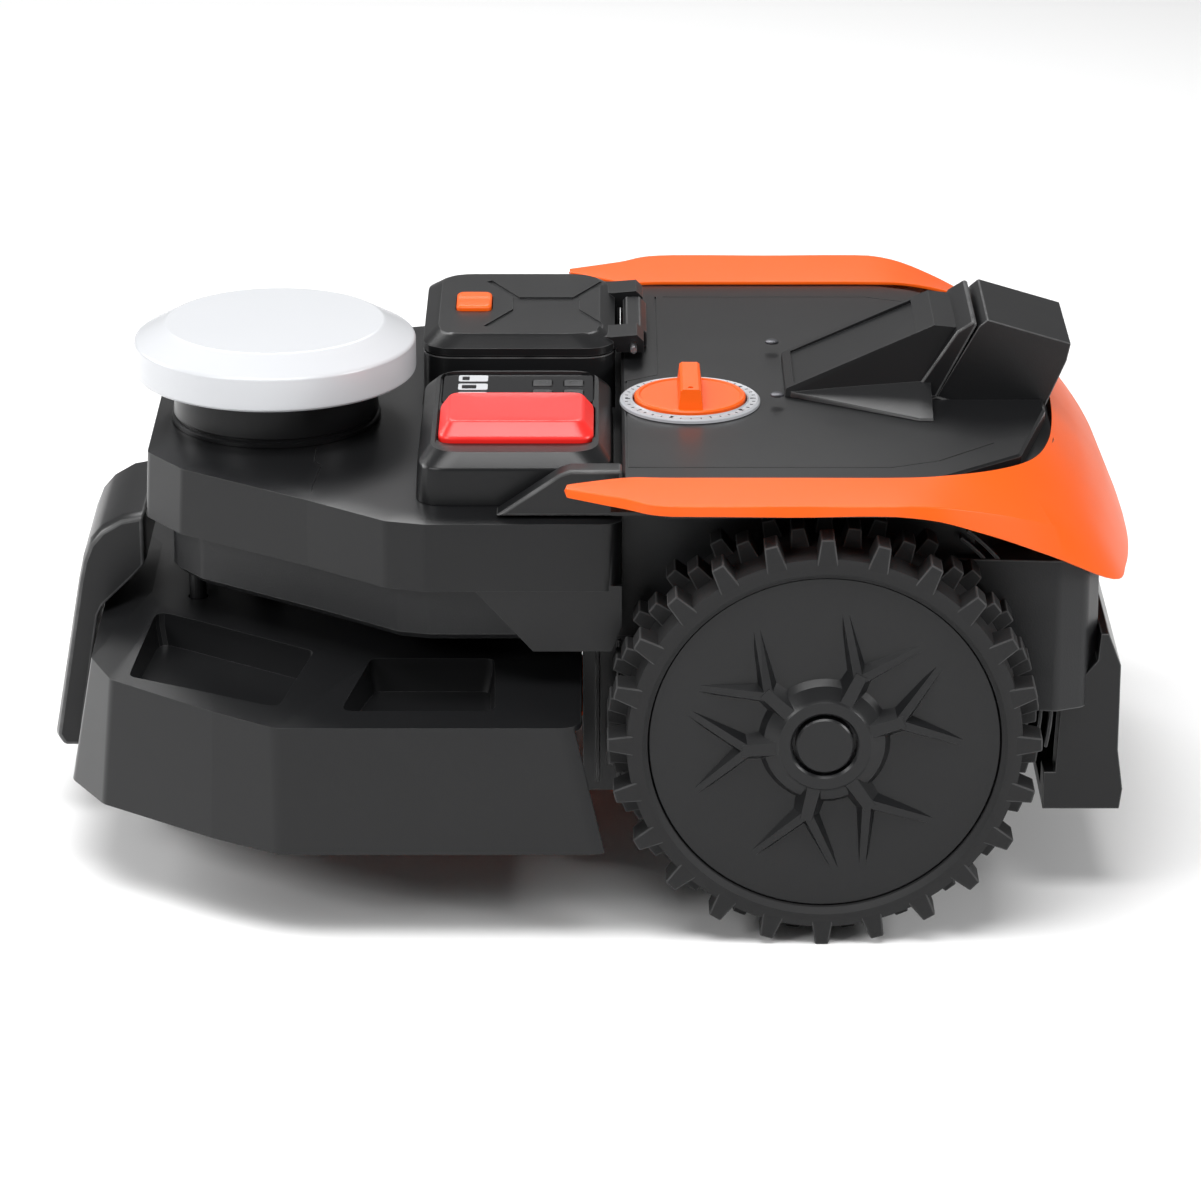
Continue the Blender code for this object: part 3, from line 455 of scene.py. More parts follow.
def metal(name, colour, roughness=0.3):
    """Machined or pressed metal with fine drawn lines."""
    found = bpy.data.materials.get(name)
    if found:
        return found
    made, tree, shader = plain_material(name)
    place = tree.nodes.new("ShaderNodeTexCoord")
    stretch = tree.nodes.new("ShaderNodeMapping")
    stretch.inputs["Scale"].default_value = (40.0, 900.0, 900.0)
    tree.links.new(place.outputs["Object"], stretch.inputs["Vector"])
    lines = tree.nodes.new("ShaderNodeTexNoise")
    lines.inputs["Scale"].default_value = 1.0
    lines.inputs["Detail"].default_value = 3.0
    tree.links.new(stretch.outputs["Vector"], lines.inputs["Vector"])
    rough = tree.nodes.new("ShaderNodeMapRange")
    rough.inputs["To Min"].default_value = roughness - 0.1
    rough.inputs["To Max"].default_value = roughness + 0.12
    tree.links.new(lines.outputs[0], rough.inputs["Value"])
    tree.links.new(rough.outputs["Result"], shader.inputs["Roughness"])
    shader.inputs["Base Color"].default_value = (*colour, 1.0)
    shader.inputs["Metallic"].default_value = 1.0
    bump = tree.nodes.new("ShaderNodeBump")
    bump.inputs["Strength"].default_value = 0.08
    bump.inputs["Distance"].default_value = 0.0002
    tree.links.new(lines.outputs[0], bump.inputs["Height"])
    tree.links.new(bump.outputs["Normal"], shader.inputs["Normal"])
    return made


# The lift values lighten every rounded edge, partly as wear and partly as a painted highlight. The shell, band
# and rubber values are set high for the highlight.
SHELL = {"roughness": 0.30, "edge_wear_and_highlight": 0.8, "lift": 0.13, "shine": 0.30}
BAND = {"roughness": 0.44, "edge_wear_and_highlight": 0.8, "lift": 0.12, "grain": 900.0, "depth": 0.10, "shine": 0.30}
ORANGE = {"roughness": 0.38, "spread": 0.06, "edge_wear_and_highlight": 0.2, "lift": 0.03, "depth": 0.02, "shine": 0.30}
RED = {"roughness": 0.33, "spread": 0.05, "edge_wear_and_highlight": 0.3, "lift": 0.05}
WHITE = {"roughness": 0.24, "spread": 0.04, "edge_wear_and_highlight": 0.0, "lift": 0.0, "depth": 0.008}
RUBBER = {
    "roughness": 0.66,
    "spread": 0.14,
    "edge_wear_and_highlight": 0.7,
    "lift": 0.08,
    "grain": 700.0,
    "depth": 0.14,
    "shine": 0.30,
}
WINDOW = {"roughness": 0.07, "spread": 0.02, "edge_wear_and_highlight": 0.0, "depth": 0.002, "shine": 0.6}
SILVER = {"roughness": 0.34, "spread": 0.05, "edge_wear_and_highlight": 0.2, "lift": 0.03, "depth": 0.02}
LENS = {"roughness": 0.04, "spread": 0.01, "edge_wear_and_highlight": 0.0, "depth": 0.001, "shine": 0.8}
BOARD = {"roughness": 0.30, "spread": 0.05, "edge_wear_and_highlight": 0.1, "lift": 0.02}

# Each look: its slot, its material's maker and name, its colour or that setting's name, its other values.
LOOKS = {
    "shell": ("shell", moulded, "satin_black_shell", "shell", SHELL),
    "band": ("shell", moulded, "textured_grey_band", "band", BAND),
    "key": ("key_grey", moulded, "textured_grey_band", "band", BAND),
    "orange": ("orange", moulded, "satin_orange", "orange", ORANGE),
    "red": ("red", moulded, "stop_red", "red", RED),
    "white": ("white", moulded, "gloss_white", "white", WHITE),
    "rubber": ("rubber", moulded, "tyre_rubber", "rubber", RUBBER),
    "steel": ("steel", metal, "brushed_steel", (0.62, 0.62, 0.64), {"roughness": 0.3}),
    "contact": ("steel", metal, "dark_contact", (0.10, 0.10, 0.11), {"roughness": 0.4}),
    "window": ("glass_black", moulded, "smoked_window", (0.004, 0.004, 0.005), WINDOW),
    "silver": ("dial_silver", moulded, "silver_ring", (0.36, 0.37, 0.39), SILVER),
    "lens": ("glass_black", moulded, "lens_glass", (0.010, 0.012, 0.020), LENS),
    "board": ("board", moulded, "board_green", (0.010, 0.060, 0.022), BOARD),
}


def look_material(look):
    """The look's material, made the first time it's asked for."""
    _, maker, name, colour, values = LOOKS[look]
    if isinstance(colour, str):
        colour = getattr(bpy.context.scene.mower_colours, colour)
    return maker(name, colour, **values)


# ---------------------------------------------------------------- wheels


def wheel_place(side):
    """The transform from a wheel's own frame, with +Z out along its axle, to its place."""
    low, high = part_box("tyre_" + dict(SIDES)[side])
    axle_low, axle_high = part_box("axle_right")
    inner = min(abs(low[1]), abs(high[1]))
    centre = Vector(((low[0] + high[0]) / 2, side * inner, axle_low[2] + (axle_high[2] - axle_low[2]) / 2))
    return Matrix.Translation(centre) @ Matrix.Rotation(-side * math.pi / 2, 4, "X")


def lug(width, foot, tip, height):
    """One tapered tread block standing along +X, as wide as its row along Z."""
    bm = bmesh.new()
    bmesh.ops.create_cube(bm, size=1.0)
    bmesh.ops.scale(bm, vec=(height, foot, width), verts=bm.verts)
    outer = [vert for vert in bm.verts if vert.co.x > 0]
    bmesh.ops.scale(bm, vec=(1.0, tip / foot, 0.86), verts=outer)
    return softened(bm, 0.0009, segments=2)


def tyre_mesh(width, root, tip, bore):
    """The tyre: a carcass with a bead, and three staggered rows of lugs."""
    carcass = [
        (bore, 0.003),
        (bore + 0.003, 0.0),
        (root - 0.006, 0.0),
        (root - 0.001, 0.002),
        (root - 0.0006, 0.006),
        (root - 0.0006, width - 0.006),
        (root - 0.001, width - 0.002),
        (root - 0.006, width),
        (bore + 0.003, width),
        (bore, width - 0.003),
    ]
    bm = turned(carcass, 120)
    height = tip - root + 0.006
    row_width = (width - 0.001) / 3
    count = sizes().lug_count
    for row in range(3):
        middle = 0.0005 + row_width * (row + 0.5)
        for i in range(count):
            angle = (i + 0.5 * (row % 2)) * math.tau / count
            piece = lug(row_width, sizes().lug_foot, sizes().lug_tip, height)
            place = Matrix.Rotation(angle, 4, "Z") @ Matrix.Translation((tip - height / 2, 0, middle))
            add_into(bm, moved(piece, place))
    return bm


def rib(length, width, height, tip_width, tip_height):
    """A drafted ridge along +X from the origin, which narrows and sinks towards its far end."""
    foot = [(0.0, -width / 2), (0.0, width / 2), (length, tip_width / 2), (length, -tip_width / 2)]
    crest = [
        (0.0, -width * 0.20), (0.0, width * 0.20), (length * 0.93, tip_width * 0.20),
        (length * 0.93, -tip_width * 0.20),
    ]
    heights = (height, height, tip_height, tip_height)
    return loft([level(foot, 0.0), [(x, y, z) for (x, y), z in zip(crest, heights)]])


def wheel_face_mesh(width, rim):
    """The wheel's face: a plain disc with six forked ribs in three pairs round a stepped hub."""
    face = width - 0.002
    dish = face - 0.0075
    profile = [
        (0.0, face - 0.0065),
        (0.0180, face - 0.0065),
        (0.0180, face + 0.0002),
        (0.0194, face + 0.0014),
        (0.0255, face + 0.0014),
        (0.0275, face - 0.0002),
        (0.0335, face - 0.0035),
        (0.0365, dish),
        (rim - 0.0045, face - 0.0030),
        (rim - 0.0008, face - 0.0030),
        (rim, face - 0.0038),
        (rim, 0.006),
        (0.0, 0.006),
    ]
    bm = turned(profile, 96)
    pieces = []
    height = sizes().spoke_height
    fork_at = 0.0440
    for pair in range(3):
        for lean in (-1, 1):
            place = Matrix.Rotation(math.radians(-79 + 120 * pair + lean * 23.5), 4, "Z")
            stem = rib(0.0225, 0.0185, height * 1.2, 0.0160, height * 1.15)
            pieces.append(moved(stem, place @ Matrix.Translation((0.0245, 0, dish - 0.001))))
            for arm in (-1, 1):
                turn = Matrix.Rotation(math.radians(arm * 37), 4, "Z")
                root = Matrix.Translation((fork_at - 0.002, 0, dish - 0.001))
                pieces.append(
                    moved(rib(0.0490, 0.0125, height * 1.15, 0.0080, 0.0034), place @ root @ turn)
                )
    for piece in pieces:
        bm = carved(bm, piece, operation="UNION")
    return bm


class MOWER_OT_wheels(bpy.types.Operator):
    """Build the lugged tyres, the ribbed wheel faces and the hub caps"""

    bl_idname = "mower.wheels"
    bl_label = "Drive Wheels"

    def execute(self, context):
        low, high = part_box("tyre_right")
        width = high[1] - low[1]
        tip = (high[2] - low[2]) / 2
        face_low, face_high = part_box("wheel_disc_right")
        rim = (face_high[2] - face_low[2]) / 2
        for side, name in SIDES:
            place = wheel_place(side)
            body = f"wheel_{name}"
            tyre = moved(tyre_mesh(width, tip - 0.010, tip, rim + 0.0004), place)
            finish(f"lugged_tyre_{name}", tyre, "rubber", [f"tyre_{name}"], body=body)
            face = softened(wheel_face_mesh(width, rim), 0.0010, 2, 24)
            finish(f"wheel_face_{name}", moved(face, place), "shell", [f"wheel_disc_{name}"], body=body)
            cap = [
                (0.0, width - 0.0085), (0.0160, width - 0.0085), (0.0160, width - 0.0012),
                (0.0150, width - 0.0002),
            ]
            cap += [(0.0105, width + 0.0), (0.0, width - 0.0003)]
            finish(
                f"hub_cover_{name}", moved(turned(cap, 64), place), "shell", [f"hub_cap_{name}"], body=body
            )
        return {"FINISHED"}


# ---------------------------------------------------------------- body

PAN_Z = 0.157
PAN_INSET = 0.013


def dims(node):
    """The low and high corners of a CAD node, as vectors."""
    low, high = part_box(node)
    return Vector(low), Vector(high)


def body_half():
    """The rear body's right half plan, up to the seam ahead of the boxes."""
    low, high = dims("rear_cover")
    half = (high.y - low.y) / 2 / 1.012
    return [
        (-0.254, 0.060),
        (-0.232, 0.090),
        (-0.158, half - 0.041),
        (-0.113, half - 0.006),
        (-0.091, half),
        (high.x, half),
    ]


def seam_cuts(points, z, width=0.0009, depth=0.0012):
    """Narrow groove cutters along a plan polyline, one for each stretch."""
    pieces = []
    for first, second in zip(points, points[1:]):
        start, end = Vector((*first, z)), Vector((*second, z))
        along = end - start
        piece = block((-width / 2, -width / 2, -depth), (along.length + width / 2, width / 2, 0.004))
        turn = Matrix.Rotation(math.atan2(along.y, along.x), 4, "Z")
        pieces.append(moved(piece, Matrix.Translation(start) @ turn))
    return pieces


class MOWER_OT_rear_body(bpy.types.Operator):
    """Build the rear upper shell with its seams, and the recessed pan under it"""

    bl_idname = "mower.rear_body"
    bl_label = "Rear Body"

    def execute(self, context):
        high = dims("rear_cover")[1]
        band_z, deck_z = 0.192, high.z
        plan = mirrored(body_half())
        crease = rounded(plan, 0.012, 5)
        lip = [(x - 0.0018 if x < -0.2 else x, y * 1.011) for x, y in crease]
        crown = rounded(inset_outline(plan, 0.016), 0.012, 5)
        cover = loft([level(lip, band_z), level(crease, deck_z - 0.0022), level(crown, deck_z)])
        flank = [
            (-0.066, band_z + 0.003), (-0.031, 0.1562), (0.0125, 0.1562), (high.x - 0.0002, 0.1715),
            (high.x - 0.0002, band_z + 0.003),
        ]
        half = body_half()[-1][1]
        flanks = []
        for side, _ in SIDES:
            ends = sorted((side * (half - 0.003), side * (half + 0.0012)))
            flanks.append(side_prism(flank, *ends))
        cover = carved(cover, *flanks, operation="UNION")
        room = plan_prism(rounded(inset_outline(plan, 0.0032), 0.010, 5), band_z - 0.05, deck_z - 0.0032)
        mouth = block((-0.001, -0.1635, band_z - 0.05), (0.03, 0.1635, deck_z - 0.0032))
        battery_low, battery_high = dims("battery_box")
        well = block(
            battery_low - Vector((0.0003, 0.0003, 0.001)), battery_high + Vector((0.0003, 0.0003, 0.01))
        )
        cuts = [room, mouth, well]
        for side, _ in SIDES:
            cuts.extend(
                seam_cuts(
                    [(-0.1565, side * 0.060), (-0.1565, side * 0.083), (-0.1525, side * 0.090)], deck_z
                )
            )
            cuts.extend(
                seam_cuts(
                    [(-0.1525, side * 0.090), (-0.1560, side * 0.1335), (-0.1620, side * 0.139)], deck_z
                )
            )
        cover = carved(cover, *cuts)
        finish("rear_shell", softened(cover, 0.0012, 2, 30), "shell", ["rear_cover"])
        pan_plan = inset_outline(plan, PAN_INSET)
        outer = rounded(pan_plan, 0.016, 6)
        sunk = rounded(inset_outline(pan_plan, 0.004), 0.014, 6)
        pan = loft([level(sunk, PAN_Z), level(outer, PAN_Z + 0.004), level(outer, deck_z - 0.0035)])
        pan_room = plan_prism(rounded(inset_outline(pan_plan, WALL), 0.014, 6), PAN_Z + WALL, deck_z)
        tub_low, tub_high = Vector((0.045, -0.163, 0.075)), Vector((0.250, 0.163, deck_z - 0.0035))
        tub = mirrored([(tub_low.x, 0.163), (0.215, 0.163), (tub_high.x, 0.120)])
        body = carved(
            pan, plan_prism(tub, tub_low.z, tub_high.z),
            block((-0.02, -0.163, PAN_Z), (0.07, 0.163, tub_high.z)), operation="UNION",
        )
        rooms = [pan_room, plan_prism(inset_outline(tub, WALL), tub_low.z + WALL, deck_z)]
        rooms.append(block((-0.05, -0.160, PAN_Z + WALL), (0.10, 0.160, deck_z)))
        rooms.append(drum((-0.075, 0, PAN_Z), 0.032, 0.02))
        for side, _ in SIDES:
            rooms.append(drum((WHEEL_CENTRE[0], side * 0.163, WHEEL_CENTRE[1]), 0.0072, 0.03, "Y", 32))
            rooms.append(drum((-0.228, side * 0.048, PAN_Z), 0.006, 0.02, segments=32))
        body = carved(body, *rooms)
        finish("lower_body", softened(body, 0.0012, 2, 30), "band", ["chassis"])
        return {"FINISHED"}


def spline(points, steps):
    """Points along a smooth curve through the given ones."""
    result = []
    count = len(points)
    for i in range(count - 1):
        a, b = points[max(i - 1, 0)], points[i]
        c, d = points[i + 1], points[min(i + 2, count - 1)]
        for step in range(steps):
            t = step / steps
            value = 2 * b + (c - a) * t + (
                2 * a - 5 * b + 4 * c - d
            ) * t**2 + (3 * b - a - 3 * c + d) * t**3
            result.append(value * 0.5)
    return result + [points[-1]]


class MOWER_OT_front_body(bpy.types.Operator):
    """Build the raised platform, the fins, and the wrapped front flank with its arch lips"""

    bl_idname = "mower.front_body"
    bl_label = "Front Body"

    def execute(self, context):
        low, high = dims("front_cover")
        half = high.y
        plan = mirrored(
            [(low.x, half), (0.176, half), (0.196, half - 0.008), (0.2415, half - 0.046), (high.x, 0.058)]
        )
        outline = rounded(plan, 0.006, 4)
        inner = rounded(inset_outline(plan, 0.0015), 0.006, 4)
        top = high.z
        cover = loft(
            [level(inner, 0.2432), level(outline, 0.2447), level(outline, top - 0.0012), level(inner, top)]
        )
        throat = mirrored([(low.x, 0.166), (0.198, 0.166), (0.232, 0.118), (0.240, 0.050)])
        cover = carved(cover, plan_prism(throat, low.z, 0.246), operation="UNION")
        cuts = [plan_prism(inset_outline(throat, 0.003), low.z - 0.02, top - 0.003)]
        cuts.append(drum((*DIAL_CENTRE, top), 0.0055, 0.04, segments=32))
        cuts.extend(
            seam_cuts([(0.0215, -0.160), (0.1685, -0.160), (0.1955, -0.1485), (0.2275, -0.118)], top)
        )
        cuts.extend(seam_cuts([(0.0450, 0.160), (0.1685, 0.160), (0.1955, 0.1485), (0.2275, 0.118)], top))
        cuts.extend(seam_cuts([(0.0215, -0.160), (0.0215, -0.006), (0.0400, 0.006), (0.0400, 0.160)], top))
        cover = carved(cover, *cuts)
        finish("platform_shell", softened(cover, 0.0007, 2, 40), "shell", ["front_cover"])
        under = [
            (0.0420, 0.2180), (0.1860, 0.2160), (0.2120, 0.1990), (0.2330, 0.1660), (0.2540, 0.1310),
            (0.2640, 0.0900),
        ]
        gutter = carved(
            plan_prism(mirrored(under), 0.2465, 0.2485),
            drum((*DIAL_CENTRE, 0.2475), 0.0075, 0.04, segments=32),
        )
        for side, _ in SIDES:
            ends = sorted((side * 0.1860, side * 0.2120))
            gutter = carved(
                gutter, block((0.0120, ends[0], 0.2460), (0.0500, ends[1], 0.2480)), operation="UNION"
            )
        finish("platform_gutter", gutter, "shell")
        sill = block((0.0168, -0.160, 0.2270), (0.0300, 0.160, 0.2290))
        finish("platform_sill", sill, "shell")
        for side, name in SIDES:
            fin_low, fin_high = dims(f"ramp_{name}")
            profile = [
                (fin_low.x, fin_low.z), (-0.016, fin_high.z - 0.002), (-0.010, fin_high.z),
                (fin_high.x, fin_high.z),
            ]
            fin = side_prism(profile + [(fin_high.x, fin_low.z)], fin_low.y, fin_high.y)
            fin = softened(fin, 0.0018, 3)
            finish(f"fin_{name}", fin, "shell", [f"ramp_{name}"])
        rings = []
        for z, back, shrink in (
            (0.1165, 0.2405, 1.0), (0.1420, 0.2360, 1.0), (0.1720, 0.2240, 0.999), (0.2060, 0.2020, 0.985)
        ):
            flank_half = [
                (back, 0.150), (back + 0.001, 0.1735), (0.262, 0.1770), (0.2785, 0.1700), (0.2865, 0.150),
                (0.2880, 0.090),
            ]
            rings.append(level(rounded(mirrored([(x, y * shrink) for x, y in flank_half]), 0.009, 5), z))
        flank = loft(rings)
        hollow = plan_prism(
            mirrored([(0.247, 0.140), (0.2515, 0.166), (0.2740, 0.160), (0.2810, 0.080)]), 0.110, 0.2035
        )
        flank = carved(flank, hollow)
        finish("front_flank", softened(flank, 0.0012, 2, 30), "band")
        for side, name in SIDES:
            for i, radius in enumerate((0.1232, 0.1290)):
                bm = arc_rib(
                    WHEEL_CENTRE, radius, 0.0022,
                    sorted((side * (0.1640 + 0.002 * i), side * (0.1705 + 0.001 * i))), -12, 52,
                )
                finish(f"arch_lip_{name}_{i + 1}", softened(bm, 0.0006, 2, 40), "band")
        return {"FINISHED"}


def arc_rib(centre, radius, thick, across, start, end, steps=28):
    """A curved rib about a wheel's axis: centre is (x, z), across is its two Ys, angles in degrees."""
    rings = []
    for i in range(steps + 1):
        angle = math.radians(start + (end - start) * i / steps)
        ring = []
        for r, y in (
            (radius, across[0]), (radius + thick, across[0]), (radius + thick, across[1]),
            (radius, across[1]),
        ):
            ring.append((centre[0] + r * math.cos(angle), y, centre[1] + r * math.sin(angle)))
        rings.append(ring)
    return loft(rings)


class MOWER_OT_trim(bpy.types.Operator):
    """Build the orange side rails and the hood that wraps the nose"""

    bl_idname = "mower.trim"
    bl_label = "Orange Trim"

    def execute(self, context):
        low, high = dims("orange_trim")
        outer = high.y
        inner = 0.1843
        wall = 0.0024
        stations = [
            (
                (-0.012, outer - 0.037, 0.2600), (-0.013, outer - 0.030, 0.2600),
                (-0.012, outer - 0.0285, 0.2550), 90,
            ),
            ((0.020, inner, 0.2585), (0.018, outer - 0.015, 0.260), (0.018, outer - 0.0135, 0.254), 90),
            ((0.045, inner, 0.2585), (0.043, outer - 0.001, 0.260), (0.045, outer, 0.254), 90),
            ((0.110, inner, 0.2585), (0.110, outer - 0.001, 0.260), (0.110, outer, 0.2535), 90),
            ((0.172, inner, 0.2585), (0.174, outer - 0.001, 0.260), (0.176, outer, 0.253), 80),
            (
                (0.198, inner - 0.004, 0.2585), (0.212, outer - 0.015, 0.252),
                (0.214, outer - 0.013, 0.240), 55,
            ),
            (
                (0.226, inner - 0.020, 0.2565), (0.250, outer - 0.042, 0.236),
                (0.2555, outer - 0.039, 0.217), 42,
            ),
            ((0.248, 0.136, 0.2530), (0.278, 0.160, 0.217), (0.2940, 0.161, 0.1900), 28),
            ((0.260, 0.098, 0.2510), (0.290, 0.112, 0.213), (0.3055, 0.112, 0.1805), 14),
            ((0.266, 0.050, 0.2500), (0.2975, 0.054, 0.2105), (0.3125, 0.054, 0.1745), 5),
            ((0.268, 0.0, 0.2495), (0.2995, 0.0, 0.2095), (0.3144, 0.0, 0.1722), 0),
        ]
        tracks = []
        for place in range(3):
            tracks.append(spline([Vector(station[place]) for station in stations], 6))
        headings = spline([Vector((station[3], 0, 0)) for station in stations], 6)
        sections = []
        for edge, crease, hem, heading in zip(*tracks, headings):
            angle = math.radians(heading.x)
            out = Vector((math.cos(angle), math.sin(angle), 0)) * wall
            down = Vector((0, 0, wall))
            shelf = edge.lerp(crease, 0.5) + Vector((0, 0, 0.0003))
            skin = [edge, shelf, crease, hem]
            back = [edge - down, shelf - down, crease - down - out, hem - out]
            sections.append([clamped(point, low, high) for point in skin + back[::-1]])
        right = [[Vector((p.x, -p.y, p.z)) for p in section] for section in sections]
        trim = loft(right[:-1] + sections[::-1])
        finish("hood_and_rails", softened(trim, 0.0014, 3, 38), "orange", ["orange_trim"])
        return {"FINISHED"}


def clamped(point, low, high):
    """The point kept inside a box."""
    return Vector(max(low[i] + 0.0001, min(high[i] - 0.0001, point[i])) for i in range(3))


class MOWER_OT_guards(bpy.types.Operator):
    """Build the foot guard under the nose and the prow behind the deck"""

    bl_idname = "mower.guards"
    bl_label = "Guards"

    def execute(self, context):
        low, high = dims("front_guard")
        profile = [
            (0.257, low.z), (0.3005, low.z), (high.x, 0.066), (0.2987, 0.090), (0.2987, 0.141),
            (0.2915, 0.160),
        ]
        profile += [(0.2870, 0.160), (0.2855, 0.1440), (0.2655, 0.1190), (0.2635, 0.0765), (0.257, 0.0765)]
        guard = side_prism(profile, low.y, high.y)
        cuts = [block((0.25, -0.150, 0.062), (0.2930, 0.150, 0.112))]
        for i in range(-3, 4):
            cuts.append(block((0.296, i * 0.042 - 0.014, 0.100), (0.310, i * 0.042 + 0.014, 0.128)))
        guard = carved(guard, *cuts)
        finish("foot_guard", softened(guard, 0.0016, 3, 24), "shell", ["front_guard"])
        low, high = dims("tail_guard")
        profile = [
            (-0.2575, 0.1905), (-0.271, 0.188), (-0.283, 0.181), (-0.290, 0.173), (-0.2945, 0.162),
            (-0.2975, 0.148),
        ]
        profile += [
            (low.x + 0.0002, 0.051), (-0.3105, 0.0445), (-0.2985, 0.0445), (-0.2982, 0.060),
            (-0.2868, 0.128),
        ]
        profile += [(-0.2835, 0.1345), (-0.2645, 0.1525), (-0.2575, 0.160)]
        rings = []
        for y, shrink in ((-1.0, 0.94), (-0.86, 1.0), (0.86, 1.0), (1.0, 0.94)):
            ring = [
                (-0.28 + (x + 0.28) * shrink, y * high.y, 0.1 + (z - 0.1) * (shrink + 1) / 2)
                for x, z in profile
            ]
            rings.append(ring)
        finish("tail_prow", softened(loft(rings), 0.0018, 3, 26), "shell", ["tail_guard"])
        return {"FINISHED"}


SKIRT_POCKETS = (
    [(-0.2505, 0.0700), (-0.1560, 0.1360), (-0.1725, 0.2045), (-0.2600, 0.1535)],
    [(-0.1231, 0.1490), (-0.0532, 0.1490), (-0.0520, 0.2102), (-0.1379, 0.2102)],
)


class MOWER_OT_skirt(bpy.types.Operator):
    """Build the deck skirt with the hollows in its sloping top and its closing walls beside the wheels"""

    bl_idname = "mower.skirt"
    bl_label = "Deck Skirt"

    def execute(self, context):
        low, high = dims("deck_skirt")
        half = high.y
        bottom, shoulder, top = low.z, 0.128, 0.138
        outlines = (
            [(-0.297, 0.124), (-0.276, 0.161), (-0.211, half - 0.024), (-0.172, half), (0.013, half)],
            [
                (-0.284, 0.122), (-0.270, 0.156), (-0.209, half - 0.029), (-0.173, half - 0.004),
                (-0.004, half - 0.004),
            ],
            [(-0.256, 0.045), (-0.248, 0.062), (-0.227, 0.082), (-0.124, 0.150), (-0.004, 0.150)],
        )
        radii = (0.014, 0.014, 0.020)
        rings = []
        for outline, z, radius in zip(outlines, (bottom, shoulder, top), radii):
            rings.append(level(rounded(mirrored(outline), radius, 5), z))
        skin = loft(rings)
        room = []
        for outline, z, radius in zip(outlines, (bottom - 0.002, shoulder - 0.003, top - 0.003), radii):
            longer = outline[:-1] + [(outline[-1][0] + 0.03, outline[-1][1])]
            room.append(level(rounded(inset_outline(mirrored(longer), 0.003), radius, 5), z))
        depth = sizes().pocket_depth
        tubs, hollows = [], []
        for outline in SKIRT_POCKETS:
            for side, _ in SIDES:
                rim = [(x, side * y) for x, y in outline]
                tubs.append(
                    plan_prism(rounded(inset_outline(rim, -0.002), 0.006, 4), 0.1275 - depth, 0.150)
                )
                floor = rounded(inset_outline(rim, 0.0026), 0.006, 4)
                edge = rounded(rim, 0.006, 4)
                hollows.append(loft([level(floor, 0.130 - depth), level(edge, 0.130), level(edge, 0.15)]))
        skin = carved(skin, carved(loft(room), *tubs), drum((-0.075, 0, top), 0.032, 0.04))
        bosses = []
        for x, y in ((-0.190, 0.0), (-0.025, 0.100), (-0.025, -0.100)):
            bosses.append(drum((x, y, (top + PAN_Z - 0.0013) / 2), 0.008, PAN_Z - 0.0003 - top + 0.001))
        skin = carved(skin, *bosses, operation="UNION")
        for side, _ in SIDES:
            hollows.append(drum((-0.228, side * 0.048, top), 0.006, 0.04, segments=32))
        skin = carved(skin, *hollows)
        finish("skirt_shell", softened(skin, 0.0016, 3, 24), "shell", ["deck_skirt"])
        for side, name in SIDES:
            ends = sorted((side * 0.1475, side * 0.1500))
            wall = block((-0.0035, ends[0], 0.058), (0.043, ends[1], 0.1560))
            ribs = [
                block(
                    (0.004 + 0.012 * i, ends[0] - 0.002, 0.064), (0.006 + 0.012 * i, ends[1] + 0.002, 0.150)
                )
                for i in range(3)
            ]
            wall = carved(wall, *ribs, operation="UNION")
            finish(f"deck_wall_{name}", softened(wall, 0.0006, 2), "shell")
            gear = block(
                (0.010, *sorted((side * 0.1505, side * 0.1655))[:1], 0.079),
                (0.036, sorted((side * 0.1505, side * 0.1655))[1], 0.110),
            )
            finish(f"gear_cover_{name}", softened(gear, 0.002, 3), "shell")
        return {"FINISHED"}


# ---------------------------------------------------------------- top fittings


class MOWER_OT_antenna(bpy.types.Operator):
    """Build the antenna's gloss dome and its neck"""

    bl_idname = "mower.antenna"
    bl_label = "Antenna"

    def execute(self, context):
        low, high = dims("antenna_dome")
        radius = (high.y - low.y) / 2
        flat = radius * 0.78
        rim = low.z + (high.z - low.z) * 0.68
        place = Matrix.Translation(((low.x + high.x) / 2, 0, 0))
        profile = [
            (0.0, low.z),
            (radius - 0.0040, low.z),
            (radius - 0.0012, low.z + 0.0006),
            (radius - 0.0002, low.z + 0.0018),
            (radius, low.z + 0.0034),
            (radius, rim - 0.0016),
            (radius - 0.0006, rim - 0.0003),
            (radius - 0.0018, rim + 0.0006),
            (flat + 0.0012, high.z - 0.0009),
            (flat, high.z - 0.0002),
            (flat - 0.0012, high.z),
            (0.0, high.z),
        ]
        dome = turned(profile, 128)
        finish("antenna_cap", moved(dome, place), "white", ["antenna_dome"])
        foot, neck = dims("antenna_neck")
        wide = (neck.y - foot.y) / 2
        profile = [
            (0.0, foot.z),
            (wide, foot.z),
            (wide, foot.z + 0.0022),
            (wide - 0.0010, foot.z + 0.0030),
            (wide - 0.0018, foot.z + 0.0032),
            (wide - 0.0018, foot.z + 0.0042),
            (wide - 0.0010, foot.z + 0.0050),
            (wide - 0.0024, neck.z - 0.0060),
            (wide - 0.0060, neck.z - 0.0012),
            (wide - 0.0060, neck.z),
            (0.0, neck.z),
        ]
        finish("antenna_stem", moved(turned(profile, 128), place), "shell", ["antenna_neck"])
        return {"FINISHED"}


def slab(outline, levels, radius=0.004, steps=4):
    """A rounded slab whose outline is drawn in at each level: levels holds (height, inset)."""
    return loft([level(rounded(inset_outline(outline, draw), radius, steps), z) for z, draw in levels])


def rectangle(x0, y0, x1, y1):
    """A rectangle's plan, anticlockwise."""
    return [(x0, y0), (x1, y0), (x1, y1), (x0, y1)]


